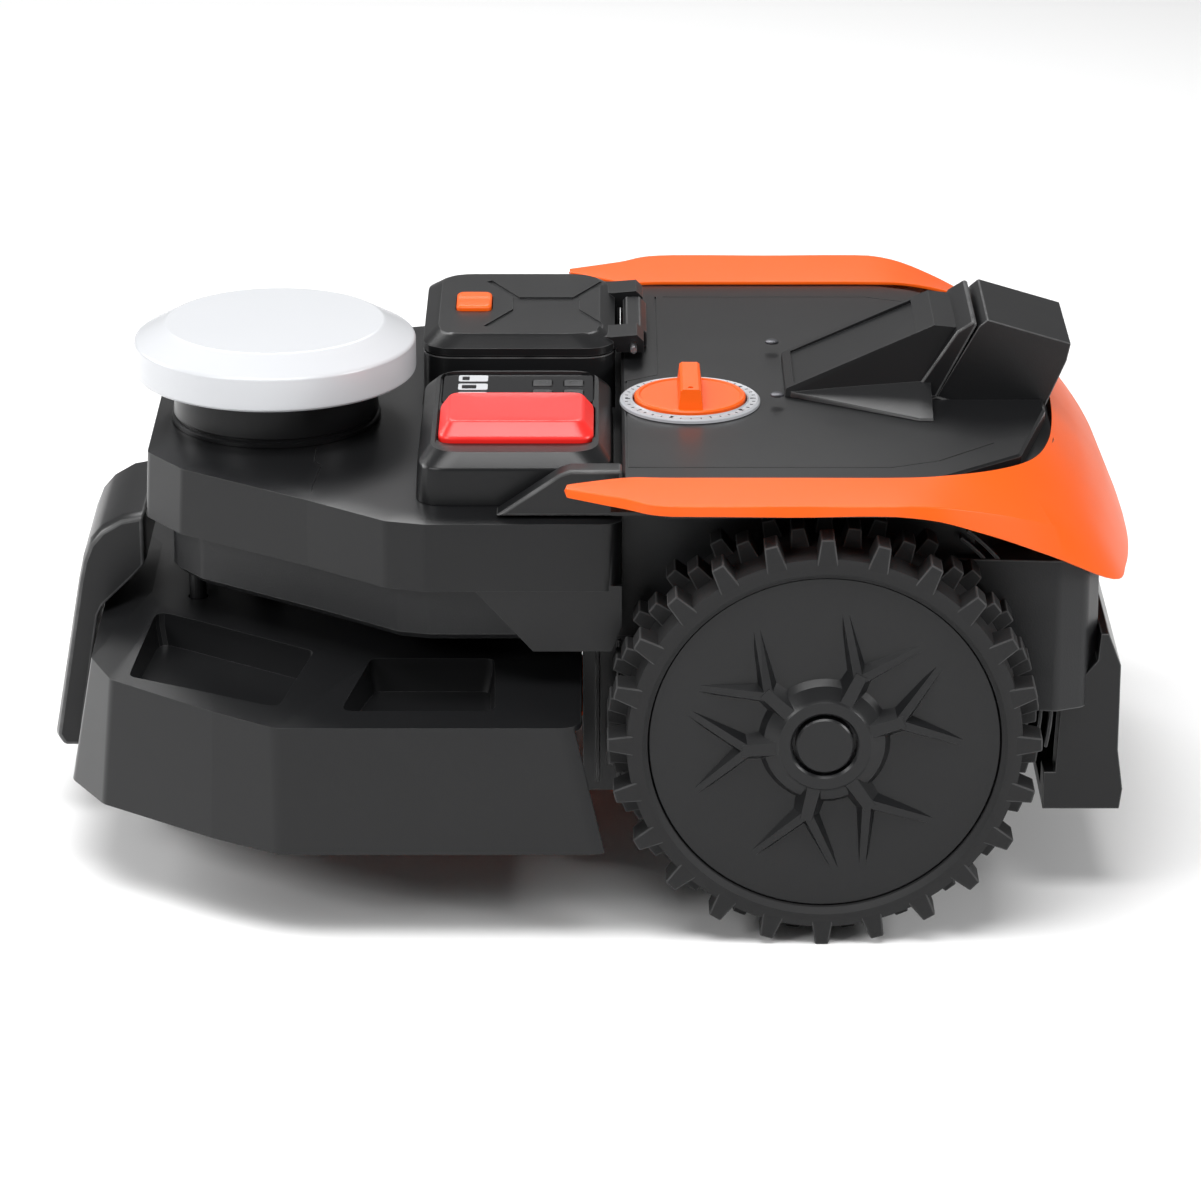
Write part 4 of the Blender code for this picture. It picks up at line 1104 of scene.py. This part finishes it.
class MOWER_OT_control_box(bpy.types.Operator):
    """Build the control box with its display, keys and stop button"""

    bl_idname = "mower.control_box"
    bl_label = "Control Box"

    def execute(self, context):
        low, high = dims("control_box")
        plan = rectangle(low.x, low.y, high.x, high.y)
        box = slab(
            plan,
            ((low.z, 0.0), (high.z - 0.0090, 0.0012), (high.z - 0.0070, 0.0020), (high.z, 0.0085)),
            0.019,
            7,
        )
        window_low, window_high = dims("display_window")
        stop_low, stop_high = dims("stop_button")
        panel = rectangle(low.x + 0.0105, stop_low.y - 0.0005, high.x - 0.0115, window_high.y + 0.0016)
        well = rectangle(
            stop_low.x + 0.0005, stop_low.y + 0.0100, stop_high.x - 0.0005, stop_high.y + 0.0010
        )
        pane = rectangle(
            window_low.x - 0.0004, window_low.y - 0.0004, window_high.x + 0.0004, window_high.y + 0.0004
        )
        cuts = [
            slab(panel, ((high.z - 0.0018, 0.0008), (high.z + 0.002, 0.0)), 0.010, 6),
            slab(well, ((high.z - 0.0100, 0.0), (high.z + 0.002, 0.0)), 0.0100, 6),
            slab(pane, ((window_low.z - 0.0006, 0.0), (high.z + 0.002, 0.0)), 0.0060, 6),
        ]
        box = softened(carved(box, *cuts), 0.0010, 3, 24)
        finish("control_housing", box, "shell", ["control_box"])
        glass = slab(
            pane,
            ((window_low.z - 0.0002, 0.0006), (window_high.z - 0.0004, 0.0006), (window_high.z, 0.0010)),
            0.0058,
            6,
        )
        holes = []
        for i in range(4):
            key_low, key_high = dims(f"key_{i + 1}")
            hole = rectangle(
                key_low.x - 0.0005, key_low.y - 0.0005, key_high.x + 0.0005, key_high.y + 0.0005
            )
            holes.append(slab(hole, ((key_low.z - 0.0008, 0.0), (key_high.z + 0.002, 0.0)), 0.0018))
            cap = rectangle(key_low.x, key_low.y, key_high.x, key_high.y)
            levels = ((key_low.z, 0.0), (key_high.z - 0.0003, 0.0), (key_high.z, 0.0005))
            sign = slab(cap, levels, 0.0017)
            centre = (key_low + key_high) / 2
            mark = drum((centre.x, centre.y, key_high.z), 0.0026, 0.0006, segments=24)
            sign = carved(sign, mark)
            body = ("power_key", "home_key", "start_key", "ok_key")[i]
            finish(f"key_cap_{i + 1}", softened(sign, 0.0002, 1, 30), "key", [f"key_{i + 1}"], body=body)
        glass = softened(carved(glass, *holes), 0.0002, 2, 40)
        finish("display_pane", glass, "window", ["display_window"])
        for i in range(3):
            y = window_high.y - 0.0085 - 0.0155 * i
            x = window_low.x + 0.0175
            frame_plan = rectangle(x - 0.0085, y - 0.0055, x + 0.0085, y + 0.0055)
            icon = slab(frame_plan, ((window_high.z - 0.0002, 0.0), (window_high.z + 0.00025, 0.0)), 0.0018)
            hole = rectangle(x - 0.0064, y - 0.0036, x - 0.0064 + 0.0042 * (i + 1), y + 0.0036)
            icon = carved(
                icon, slab(hole, ((window_high.z - 0.001, 0.0), (window_high.z + 0.001, 0.0)), 0.0008)
            )
            finish(f"display_icon_{i + 1}", icon, "white")
        x0, x1, y0, y1 = stop_low.x + 0.0015, stop_high.x - 0.0015, stop_low.y + 0.0110, stop_high.y
        top = stop_high.z
        rings = [level(rounded(rectangle(x0, y0, x1, y1), 0.0095, 6), stop_low.z)]
        rings.append(level(rounded(rectangle(x0, y0, x1, y1), 0.0095, 6), top - 0.0085))
        rings.append(
            level(
                rounded(rectangle(x0 + 0.0006, y0 + 0.0010, x1 - 0.0006, y1 - 0.0004), 0.0095, 6),
                top - 0.0070,
            )
        )
        rings.append(
            level(
                rounded(rectangle(x0 + 0.0050, y0 + 0.0070, x1 - 0.0055, y1 - 0.0035), 0.0070, 6),
                top - 0.0010,
            )
        )
        rings.append(
            level(
                rounded(rectangle(x0 + 0.0065, y0 + 0.0085, x1 - 0.0070, y1 - 0.0050), 0.0060, 6),
                top - 0.0003,
            )
        )
        rings.append(
            level(
                rounded(rectangle(x0 + 0.0170, y0 + 0.0150, x1 - 0.0170, y1 - 0.0130), 0.0050, 6),
                top - 0.0012,
            )
        )
        button = softened(loft(rings), 0.0009, 2, 20)
        finish("stop_cap", button, "red", ["stop_button"], body="stop")
        return {"FINISHED"}


class MOWER_OT_battery(bpy.types.Operator):
    """Build the battery box, its pack, the grooved lid with its hinge, and the latch"""

    bl_idname = "mower.battery"
    bl_label = "Battery"

    def execute(self, context):
        low, high = dims("battery_box")
        plan = rectangle(low.x, low.y, high.x, high.y)
        room = rectangle(low.x + 0.003, low.y + 0.003, high.x - 0.003, high.y - 0.003)
        box = slab(plan, ((low.z, 0.0), (high.z, 0.0)), 0.020, 7)
        box = carved(box, slab(room, ((low.z + 0.003, 0.0), (high.z + 0.01, 0.0)), 0.017, 7))
        finish("battery_bay", softened(box, 0.0007, 2, 30), "shell", ["battery_box"])
        low, high = dims("battery_pack")
        pack = slab(
            rectangle(low.x, low.y, high.x, high.y),
            ((low.z, 0.002), (low.z + 0.002, 0.0), (high.z - 0.003, 0.0), (high.z, 0.003)),
            0.006,
        )
        grips = []
        for i in range(5):
            y = low.y + 0.020 + i * (high.y - low.y - 0.040) / 4
            grips.append(
                block(
                    (low.x + 0.018, y - 0.003, high.z - 0.0012), (high.x - 0.018, y + 0.003, high.z + 0.002)
                )
            )
        pack = carved(pack, *grips)
        finish("battery_block", softened(pack, 0.0006, 2, 30), "band", ["battery_pack"])
        self.make_lid()
        low, high = dims("hinge_block")
        pin = (dims("lid_hinge_pin")[0] + dims("lid_hinge_pin")[1]) / 2
        bearing = side_prism(
            [
                (low.x, low.z), (high.x, low.z), (high.x, high.z - 0.004), (high.x - 0.004, high.z),
                (low.x + 0.002, high.z), (low.x, high.z - 0.002),
            ],
            low.y,
            high.y,
        )
        bearing = carved(bearing, drum(pin, 0.0022, 0.2, "Y", 24))
        finish("hinge_bearing", softened(bearing, 0.0006, 2), "shell", ["hinge_block"])
        return {"FINISHED"}

    def make_lid(self):
        """The lid on its two arms, its grooves and its latch."""
        box_low, box_high = dims("battery_box")
        high = dims("battery_lid")[1]
        base = box_high.z + 0.0003
        plan = rectangle(box_low.x, box_low.y, box_high.x, box_high.y)
        levels = (
            (base, 0.0006), (base + 0.0008, 0.0), (base + 0.0052, 0.0), (high.z - 0.0012, 0.0068),
            (high.z, 0.0088),
        )
        lid = slab(plan, levels, 0.020, 7)
        middle = (box_low.y + box_high.y) / 2
        pin = (dims("lid_hinge_pin")[0] + dims("lid_hinge_pin")[1]) / 2
        x1 = box_high.x
        arms = []
        for y in (box_low.y + 0.025, box_high.y - 0.025):
            profile = [
                (x1 - 0.020, base + 0.001), (x1 - 0.020, high.z - 0.0028), (x1 - 0.002, high.z - 0.0035),
                (high.x - 0.004, base + 0.0095),
            ]
            profile += [
                (high.x, base + 0.0055), (high.x, base - 0.0012), (x1 + 0.001, base - 0.0012),
                (x1 + 0.001, base + 0.001),
            ]
            arms.append(side_prism(profile, y - 0.0118, y + 0.0118))
        lid = carved(lid, *arms, operation="UNION")
        room = rectangle(box_low.x + 0.009, box_low.y + 0.009, x1 - 0.009, box_high.y - 0.009)
        cuts = [
            slab(room, ((base - 0.01, 0.0), (high.z - 0.0034, 0.0)), 0.012, 5),
            drum(pin, 0.0022, 0.3, "Y", 24),
        ]
        latch_low, latch_high = dims("latch_button")
        seat = rectangle(
            latch_low.x - 0.0006, latch_low.y - 0.0006, latch_high.x + 0.0006, latch_high.y + 0.0006
        )
        cuts.append(slab(seat, ((high.z - 0.009, 0.0), (high.z + 0.002, 0.0)), 0.0050, 5))
        centre_x = -0.026
        for side in (-1, 1):
            for end in (-1, 1):
                groove = block((0.0, -0.0019, -0.0011), (0.040, 0.0019, 0.004))
                place = Matrix.Translation((centre_x + end * 0.017, middle + side * 0.010, high.z))
                angle = math.atan2(side * 0.034, end * 0.017)
                cuts.append(moved(groove, place @ Matrix.Rotation(angle, 4, "Z")))
        cuts.append(
            slab(
                rectangle(centre_x - 0.020, middle - 0.0125, centre_x + 0.020, middle + 0.0125),
                ((high.z - 0.0011, 0.0), (high.z + 0.002, 0.0)),
                0.003,
            )
        )
        lid = carved(lid, *cuts)
        finish("battery_cover", softened(lid, 0.0008, 2, 26), "shell", ["battery_lid"], body="lid")
        button = rectangle(latch_low.x, latch_low.y, latch_high.x, latch_high.y)
        button = slab(
            button,
            (
                (latch_low.z, 0.0), (latch_high.z - 0.0012, 0.0), (latch_high.z - 0.0003, 0.0010),
                (latch_high.z, 0.0026),
            ),
            0.0048,
            5,
        )
        dent = drum(
            ((latch_low.x + latch_high.x) / 2, (latch_low.y + latch_high.y) / 2, latch_high.z + 0.0195),
            0.0200,
            0.020,
            "X",
            64,
        )
        button = carved(button, dent)
        finish("latch_cap", softened(button, 0.0005, 2), "orange", ["latch_button"], body="latch")


DIGIT_STROKES = {
    "2": ((-1, 2, 1, 2), (1, 2, 1, 0), (1, 0, -1, 0), (-1, 0, -1, -2), (-1, -2, 1, -2)),
    "3": ((-1, 2, 1, 2), (1, 2, 1, -2), (-1, 0, 1, 0), (-1, -2, 1, -2)),
    "4": ((-1, 2, -1, 0), (-1, 0, 1, 0), (1, 2, 1, -2)),
    "5": ((1, 2, -1, 2), (-1, 2, -1, 0), (-1, 0, 1, 0), (1, 0, 1, -2), (1, -2, -1, -2)),
    "6": ((1, 2, -1, 2), (-1, 2, -1, -2), (-1, 0, 1, 0), (1, 0, 1, -2), (1, -2, -1, -2)),
}


class MOWER_OT_dial(bpy.types.Operator):
    """Build the cutting-height dial, its graduated ring and its grip bar"""

    bl_idname = "mower.dial"
    bl_label = "Height Dial"

    def execute(self, context):
        low, high = dims("dial_ring")
        centre = (low + high) / 2
        place = Matrix.Translation((centre.x, centre.y, 0))
        outer = (high.x - low.x) / 2
        top = high.z
        inner = outer - 0.0075
        ring = [
            (inner, low.z), (outer, low.z), (outer - 0.0002, top - 0.0012), (outer - 0.0014, top - 0.0003)
        ]
        ring += [
            (outer - 0.0022, top - 0.0006), (inner + 0.0010, top - 0.0008), (inner + 0.0004, top),
            (inner, top - 0.0004),
        ]
        finish("dial_scale", moved(turned(ring, 128), place), "silver", ["dial_ring"])
        marks = bmesh.new()
        count = sizes().tick_count
        for i in range(count):
            if i % 8 == 4:
                continue
            length = 0.0032 if i % 8 == 0 else 0.0018
            tick = block(
                (outer - 0.0026 - length, -0.00022, top - 0.0010), (outer - 0.0026, 0.00022, top - 0.00045)
            )
            add_into(marks, moved(tick, Matrix.Rotation(i * math.tau / count, 4, "Z")))
        for i, digit in enumerate("23456"):
            turn = Matrix.Rotation(
                (i * 8 + 4) * math.tau / count, 4, "Z"
            ) @ Matrix.Translation((outer - 0.0046, 0, 0))
            unit = 0.00062
            for x0, y0, x1, y1 in DIGIT_STROKES[digit]:
                x_low, x_high = sorted((x0 * unit, x1 * unit))
                y_low, y_high = sorted((y0 * unit, y1 * unit))
                stroke = block(
                    (y_low - 0.0002, x_low - 0.0002, top - 0.0010),
                    (y_high + 0.0002, x_high + 0.0002, top - 0.00045),
                )
                add_into(marks, moved(stroke, turn))
        finish("dial_marks", moved(marks, place), "shell", smooth=False)
        low, high = dims("dial_knob")
        radius = (high.x - low.x) / 2
        disc_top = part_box("dial_ring")[1][2] + 0.0020
        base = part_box("dial_ring")[0][2]
        knob = [(0.0, low.z), (0.005, low.z), (0.005, base), (radius, base), (radius, disc_top - 0.0008)]
        knob += [
            (radius - 0.0008, disc_top), (radius - 0.0026, disc_top + 0.0001),
            (radius - 0.0034, disc_top - 0.0005), (0.0, disc_top - 0.0005),
        ]
        knob = moved(turned(knob, 96), place)
        bar = [
            (-0.0072, disc_top - 0.002), (0.0072, disc_top - 0.002), (0.0058, high.z - 0.0010),
            (0.0044, high.z), (-0.0044, high.z), (-0.0058, high.z - 0.0010),
        ]
        reach = radius - 0.0032
        grip = loft([[(centre.x + x, centre.y + y, z) for x, z in bar] for y in (-reach, reach)])
        for vert in grip.verts:
            if abs(vert.co.y - centre.y) > reach - 0.001 and vert.co.z > disc_top + 0.002:
                vert.co.y -= math.copysign(0.0030, vert.co.y - centre.y)
        hole = drum((centre.x, centre.y - reach + 0.0075, high.z), 0.0016, 0.004, segments=24)
        knob = carved(knob, grip, operation="UNION")
        knob = carved(knob, hole)
        finish("dial_grip", softened(knob, 0.0009, 3, 32), "orange", ["dial_knob"], body="dial")
        return {"FINISHED"}


class MOWER_OT_camera_pod(bpy.types.Operator):
    """Build the camera pod, its collar, the head and its window"""

    bl_idname = "mower.camera_pod"
    bl_label = "Camera Pod"

    def execute(self, context):
        low, high = dims("camera_pod")
        head_high = dims("camera_head")[1]
        half = head_high.y
        base = low.z
        ramp = hull_both_sides(
            (
                (0.1130, 0.0360, base), (0.1500, 0.0385, base), (0.1900, 0.0420, base),
                (0.1960, 0.0400, base),
            ),
            (
                (0.1135, 0.0345, base + 0.0045), (0.1905, 0.0340, 0.2945), (0.1985, 0.0340, 0.2990),
                (0.2120, 0.0340, 0.2975),
            ),
        )
        flare = hull_both_sides(
            (
                (0.1140, 0.0350, base), (0.1500, 0.0400, base), (0.1880, 0.0800, base),
                (0.1960, 0.0800, base),
            ),
            (
                (0.1140, 0.0340, base + 0.0030), (0.1500, 0.0390, base + 0.0014),
                (0.1880, 0.0790, base + 0.0014),
            ),
            (
                (0.1960, 0.0790, base + 0.0014), (0.1890, 0.0412, base + 0.0105),
                (0.1965, 0.0412, base + 0.0105),
            ),
        )
        ramp = carved(ramp, flare, operation="UNION")
        lean = math.atan2(0.2945 - base - 0.0045, 0.1905 - 0.1135)
        panel = block((0.0050, -0.0300, -0.0012), (0.0820, 0.0300, 0.006))
        ramp = carved(
            ramp,
            moved(panel, Matrix.Translation((0.1135, 0, base + 0.0045)) @ Matrix.Rotation(-lean, 4, "Y")),
        )
        finish("pod_ramp", softened(ramp, 0.0014, 3, 20), "shell", ["camera_pod"])
        neck = side_prism(
            [
                (0.1930, 0.2560), (0.2000, 0.2585), (0.2500, 0.2425), (0.2510, 0.2395), (0.2465, 0.2250),
                (0.2440, 0.2180), (0.2000, 0.2180),
            ],
            -0.0405,
            0.0405,
        )
        finish("pod_neck", softened(neck, 0.0015, 2, 26), "shell")
        collar_side = [
            (0.1880, 0.2625), (0.2110, 0.2975), (0.2205, 0.3036), (0.2228, 0.3020), (0.2000, 0.2575),
            (0.1925, 0.2575),
        ]
        collar = side_prism(collar_side, -half + 0.0005, half - 0.0005)
        finish("pod_collar", softened(collar, 0.0028, 4, 26), "shell")
        head_side = [
            (0.2000, 0.2578), (0.2235, 0.3000), (0.2285, 0.3042), (0.2768, 0.2898), (0.2745, 0.2790),
            (0.2610, 0.2472), (0.2515, 0.2412),
        ]
        head = side_prism(head_side, -half + 0.0018, half - 0.0018)
        front_high, front_low = Vector((0.2745, 0, 0.2790)), Vector((0.2610, 0, 0.2472))
        lean = (front_high - front_low).normalized()
        out = Vector((lean.z, 0, -lean.x))
        turn = Matrix.Rotation(math.atan2(lean.x, lean.z), 4, "Y")
        middle = (front_high + front_low) / 2
        seat = moved(
            block((-0.0014, -0.0345, -0.0125), (0.004, 0.0345, 0.0125)), Matrix.Translation(middle) @ turn
        )
        head = carved(head, seat)
        finish("camera_shell", softened(head, 0.0026, 4, 26), "shell", ["camera_head"])
        pane = rounded(rectangle(-0.0340, -0.0120, 0.0340, 0.0120), 0.004, 5)
        glass = loft([[(-0.0013, y, z) for y, z in pane], [(0.0004, y, z) for y, z in pane]])
        place = Matrix.Translation(middle) @ turn
        finish("camera_glass", softened(moved(glass, place), 0.0004, 2), "window", ["camera_window"])
        for i, y in enumerate((-0.019, 0.019)):
            barrel = turned(
                [
                    (0.0, 0.0), (0.0085, 0.0), (0.0085, 0.0007), (0.0070, 0.0008), (0.0060, 0.0003),
                    (0.0, 0.0009),
                ],
                48,
            )
            aim = Matrix.Translation(
                middle + Vector((0, y, 0)) + out * 0.0003
            ) @ turn @ Matrix.Rotation(math.pi / 2, 4, "Y")
            finish(f"camera_lens_{i + 1}", moved(barrel, aim), "lens")
        for _, name in SIDES:
            low, high = dims(f"rain_contact_{name}")
            centre = (low + high) / 2
            button = turned(
                [(0.0, low.z), (0.004, low.z), (0.004, high.z - 0.0006), (0.0030, high.z), (0.0, high.z)],
                32,
            )
            finish(
                f"rain_stud_{name}", moved(button, Matrix.Translation((centre.x, centre.y, 0))), "contact",
                [f"rain_contact_{name}"],
            )
        return {"FINISHED"}


# ---------------------------------------------------------------- underside


class MOWER_OT_cutting_unit(bpy.types.Operator):
    """Build the cutting motor, its carriage, the blade disc and its three hinged blades"""

    bl_idname = "mower.cutting_unit"
    bl_label = "Cutting Unit"

    def execute(self, context):
        low, high = dims("cutting_motor")
        centre = Vector(((low.x + high.x) / 2, 0, 0))
        place = Matrix.Translation(centre)
        radius = (high.y - low.y) / 2
        profile = [(0.0, low.z), (radius - 0.002, low.z), (radius, low.z + 0.002)]
        for i in range(8):
            z = low.z + 0.012 + i * 0.008
            profile += [
                (radius, z), (radius - 0.0018, z + 0.0012), (radius - 0.0018, z + 0.0032),
                (radius, z + 0.0044),
            ]
        profile += [(radius, high.z - 0.004), (radius - 0.010, high.z), (0.0, high.z)]
        finish(
            "motor_can", moved(turned(profile, 64), place), "shell", ["cutting_motor"], body="cutting_unit"
        )
        low, high = dims("cutting_disc")
        radius = (high.y - low.y) / 2
        disc = turned(
            [
                (0.0, low.z), (radius - 0.0008, low.z), (radius, low.z + 0.0008), (radius, high.z - 0.0008),
                (radius - 0.0008, high.z), (0.0, high.z),
            ],
            96,
        )
        cuts = []
        for i in range(3):
            angle = i * math.tau / 3
            pivot = around(BLADE_PIVOT_R, angle)
            cuts.append(drum(pivot + Vector((0, 0, low.z)), 0.0022, 0.02, segments=24))
            for step in (-1, 0, 1):
                turn = angle + math.pi / 3 + step * 0.42
                spot = (0.056 * math.cos(turn), 0.056 * math.sin(turn), low.z)
                cuts.append(drum(spot, 0.0075, 0.02, segments=32))
        disc = moved(carved(disc, *cuts), place)
        finish("blade_disc", softened(disc, 0.0003, 1, 40), "orange", ["cutting_disc"], body="disc")
        for i in range(3):
            self.make_blade(i, centre)
        dress("disc_hub", "lift_carriage", "skid_plate", "lift_screw", width=0.0005)
        return {"FINISHED"}

    def make_blade(self, i, centre):
        """One ground blade and the screw it hangs on."""
        low, high = dims("blade_1")
        angle = i * math.tau / 3
        pivot = centre + around(BLADE_PIVOT_R, angle)
        plan = [
            (-0.005, -0.006), (-0.003, -0.008), (0.029, -0.008), (0.031, -0.006), (0.031, 0.006),
            (0.029, 0.008), (-0.003, 0.008), (-0.005, 0.006),
        ]
        edge = [(x, y * 0.78) for x, y in plan]
        blade = loft([level(edge, low.z), level(plan, low.z + 0.00035), level(plan, high.z)])
        blade = carved(
            blade, drum((0, 0, low.z), 0.0026, 0.01, segments=24),
            block((0.012, -0.0022, 0.0), (0.024, 0.0022, 0.2)),
        )
        turn = Matrix.Translation(pivot) @ Matrix.Rotation(angle, 4, "Z")
        finish(
            f"blade_edge_{i + 1}", moved(blade, turn), "steel", [f"blade_{i + 1}"], body=f"blade_{'abc'[i]}"
        )
        low, high = dims(f"blade_screw_{i + 1}")
        screw = turned(
            [
                (0.0, low.z), (0.0032, low.z), (0.004, low.z + 0.0006), (0.004, low.z + 0.0018),
                (0.0019, low.z + 0.0018), (0.0019, high.z), (0.0, high.z),
            ],
            32,
        )
        screw = carved(screw, drum((0, 0, low.z), 0.0018, 0.0018, segments=6))
        finish(
            f"blade_bolt_{i + 1}", moved(screw, Matrix.Translation(pivot)), "steel",
            [f"blade_screw_{i + 1}"], body="disc",
        )


class MOWER_OT_casters(bpy.types.Operator):
    """Build the two swivelling casters"""

    bl_idname = "mower.casters"
    bl_label = "Casters"

    def execute(self, context):
        for _, name in SIDES:
            low, high = dims(f"caster_wheel_{name}")
            centre = (low + high) / 2
            radius, half = (high.x - low.x) / 2, (high.y - low.y) / 2
            profile = [
                (0.0035, -half), (0.009, -half), (0.010, -half + 0.0015), (radius - 0.008, -half + 0.0015),
                (radius - 0.006, -half),
            ]
            profile += [(radius - 0.003, -half), (radius - 0.0008, -half + 0.0012), (radius, -half + 0.004)]
            profile += [
                (radius, -0.003), (radius - 0.0015, -0.0018), (radius - 0.0015, 0.0018), (radius, 0.003)
            ]
            profile += [(r, -y) for r, y in reversed(profile[:8])]
            roller = moved(
                turned(profile, 64), Matrix.Translation(centre) @ Matrix.Rotation(-math.pi / 2, 4, "X")
            )
            finish(
                f"caster_roller_{name}", roller, "rubber", [f"caster_wheel_{name}"],
                body=f"caster_roller_{name}",
            )
            dress(f"caster_fork_{name}", f"caster_pin_{name}", width=0.0012)
        return {"FINISHED"}


class MOWER_OT_fittings(bpy.types.Operator):
    """Finish the motors, shafts, pin and board"""

    bl_idname = "mower.fittings"
    bl_label = "Fittings"

    def execute(self, context):
        dress(
            "drive_motor_right", "drive_motor_left", "axle_right", "axle_left", "lid_hinge_pin",
            width=0.0008,
        )
        dress("main_board", width=0.0003)
        low, high = dims("main_board")
        for i, (x, y, wide, tall) in enumerate(
            (
                (0.012, 0.020, 0.016, 0.0022), (0.035, 0.030, 0.010, 0.0030), (0.020, 0.070, 0.022, 0.0016),
                (0.040, 0.090, 0.008, 0.0060),
            )
        ):
            chip = block(
                (low.x + x - wide / 2, low.y + y - wide / 2, high.z),
                (low.x + x + wide / 2, low.y + y + wide / 2, high.z + tall),
            )
            finish(f"board_chip_{i + 1}", softened(chip, 0.0003, 1), "shell")
        return {"FINISHED"}


NODE_FINISHES = {
    "disc_hub": "steel",
    "lift_carriage": "shell",
    "skid_plate": "shell",
    "lift_screw": "steel",
    "caster_fork": "shell",
    "caster_pin": "steel",
    "drive_motor": "steel",
    "axle": "steel",
    "lid_hinge_pin": "steel",
    "main_board": "board",
}


def dress(*names, width):
    """Give CAD nodes that stay in view their finish and a small rounding."""
    for name in names:
        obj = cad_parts[name]
        kind = NODE_FINISHES.get(name) or NODE_FINISHES[name.rsplit("_", 1)[0]]
        obj.data.materials.clear()
        obj.data.materials.append(look_material(kind))
        step = obj.modifiers.new("Edge", "BEVEL")
        step.width = width
        step.segments = 2
        step.limit_method = "ANGLE"
        step.angle_limit = math.radians(35)


# ---------------------------------------------------------------- stage


class MOWER_OT_stage(bpy.types.Operator):
    """Build the pale floor, the soft studio lights and the camera"""

    bl_idname = "mower.stage"
    bl_label = "Studio"

    def execute(self, context):
        scene = context.scene
        bm = bmesh.new()
        bmesh.ops.create_grid(bm, x_segments=1, y_segments=1, size=12.0)
        mesh = bpy.data.meshes.new("studio_floor")
        bm.to_mesh(mesh)
        bm.free()
        floor = bpy.data.objects.new("studio_floor", mesh)
        scene.collection.objects.link(floor)
        made, _, shader = plain_material("studio_white")
        shader.inputs["Base Color"].default_value = (0.92, 0.92, 0.92, 1.0)
        shader.inputs["Roughness"].default_value = 0.85
        mesh.materials.append(made)
        world = bpy.data.worlds.new("studio")
        world.use_nodes = True
        sky = world.node_tree.nodes["Background"]
        sky.inputs["Color"].default_value = (1.0, 1.0, 1.0, 1.0)
        sky.inputs["Strength"].default_value = 0.24
        scene.world = world
        scene.view_settings.view_transform = "Standard"
        lights = (
            ("overhead", (-0.2, -0.8, 2.1), (0.0, 0.0, 0.1), (1.8, 0.8), 42.0),
            ("back_top", (-0.3, 1.7, 1.9), (0.0, 0.0, 0.1), (1.6, 0.8), 26.0),
            ("front_fill", (-1.9, -1.7, 1.5), (0.0, 0.0, 0.1), (1.0, 0.7), 24.0),
            ("right_fill", (2.3, -0.9, 1.2), (0.1, 0.0, 0.1), (0.9, 0.9), 32.0),
            ("left_rim", (-2.2, 0.9, 1.3), (0.0, 0.0, 0.15), (1.0, 1.0), 30.0),
        )
        for name, place, aim, size, power in lights:
            lamp = bpy.data.lights.new(name, "AREA")
            lamp.shape = "RECTANGLE"
            lamp.size, lamp.size_y = size
            lamp.energy = power
            obj = bpy.data.objects.new(name, lamp)
            obj.location = place
            obj.rotation_euler = (Vector(aim) - Vector(place)).to_track_quat("-Z", "Y").to_euler()
            scene.collection.objects.link(obj)
        camera = bpy.data.cameras.new("camera")
        camera.sensor_width = 36.0
        camera.lens = 154.7
        camera.clip_end = 50.0
        view = bpy.data.objects.new("camera", camera)
        view.location = (0.0065, -2.86755, 1.19049)
        view.rotation_euler = (math.radians(90 - 20.52), 0.0, 0.0)
        scene.collection.objects.link(view)
        scene.camera = view
        return {"FINISHED"}


# ---------------------------------------------------------------- add-on


class MOWER_PT_panel(bpy.types.Panel):
    """Lists the mower's settings and steps"""

    bl_label = "Robotic Lawn Mower"
    bl_idname = "MOWER_PT_panel"
    bl_space_type = "VIEW_3D"
    bl_region_type = "UI"
    bl_category = "Mower"

    def draw(self, context):
        column = self.layout.column()
        for group in (context.scene.mower_sizes, context.scene.mower_colours):
            for name in group.__annotations__:
                column.prop(group, name)
        for step in STEPS:
            column.operator(step.bl_idname)


STEPS = (
    MOWER_OT_wheels,
    MOWER_OT_rear_body,
    MOWER_OT_front_body,
    MOWER_OT_trim,
    MOWER_OT_guards,
    MOWER_OT_skirt,
    MOWER_OT_antenna,
    MOWER_OT_control_box,
    MOWER_OT_battery,
    MOWER_OT_dial,
    MOWER_OT_camera_pod,
    MOWER_OT_cutting_unit,
    MOWER_OT_casters,
    MOWER_OT_fittings,
    MOWER_OT_stage,
)
CLASSES = (MowerColours, MowerSizes, *STEPS, MOWER_PT_panel)


def register():
    """Add the settings, steps and panel."""
    for cls in CLASSES:
        bpy.utils.register_class(cls)
    bpy.types.Scene.mower_colours = bpy.props.PointerProperty(type=MowerColours)
    bpy.types.Scene.mower_sizes = bpy.props.PointerProperty(type=MowerSizes)


def unregister():
    """Take them away again."""
    del bpy.types.Scene.mower_sizes
    del bpy.types.Scene.mower_colours
    for cls in reversed(CLASSES):
        bpy.utils.unregister_class(cls)


def main():
    """Build every piece in order."""
    register()
    for step in STEPS:
        area, action = step.bl_idname.split(".")
        getattr(getattr(bpy.ops, area), action)()


if __name__ == "__main__":
    main()
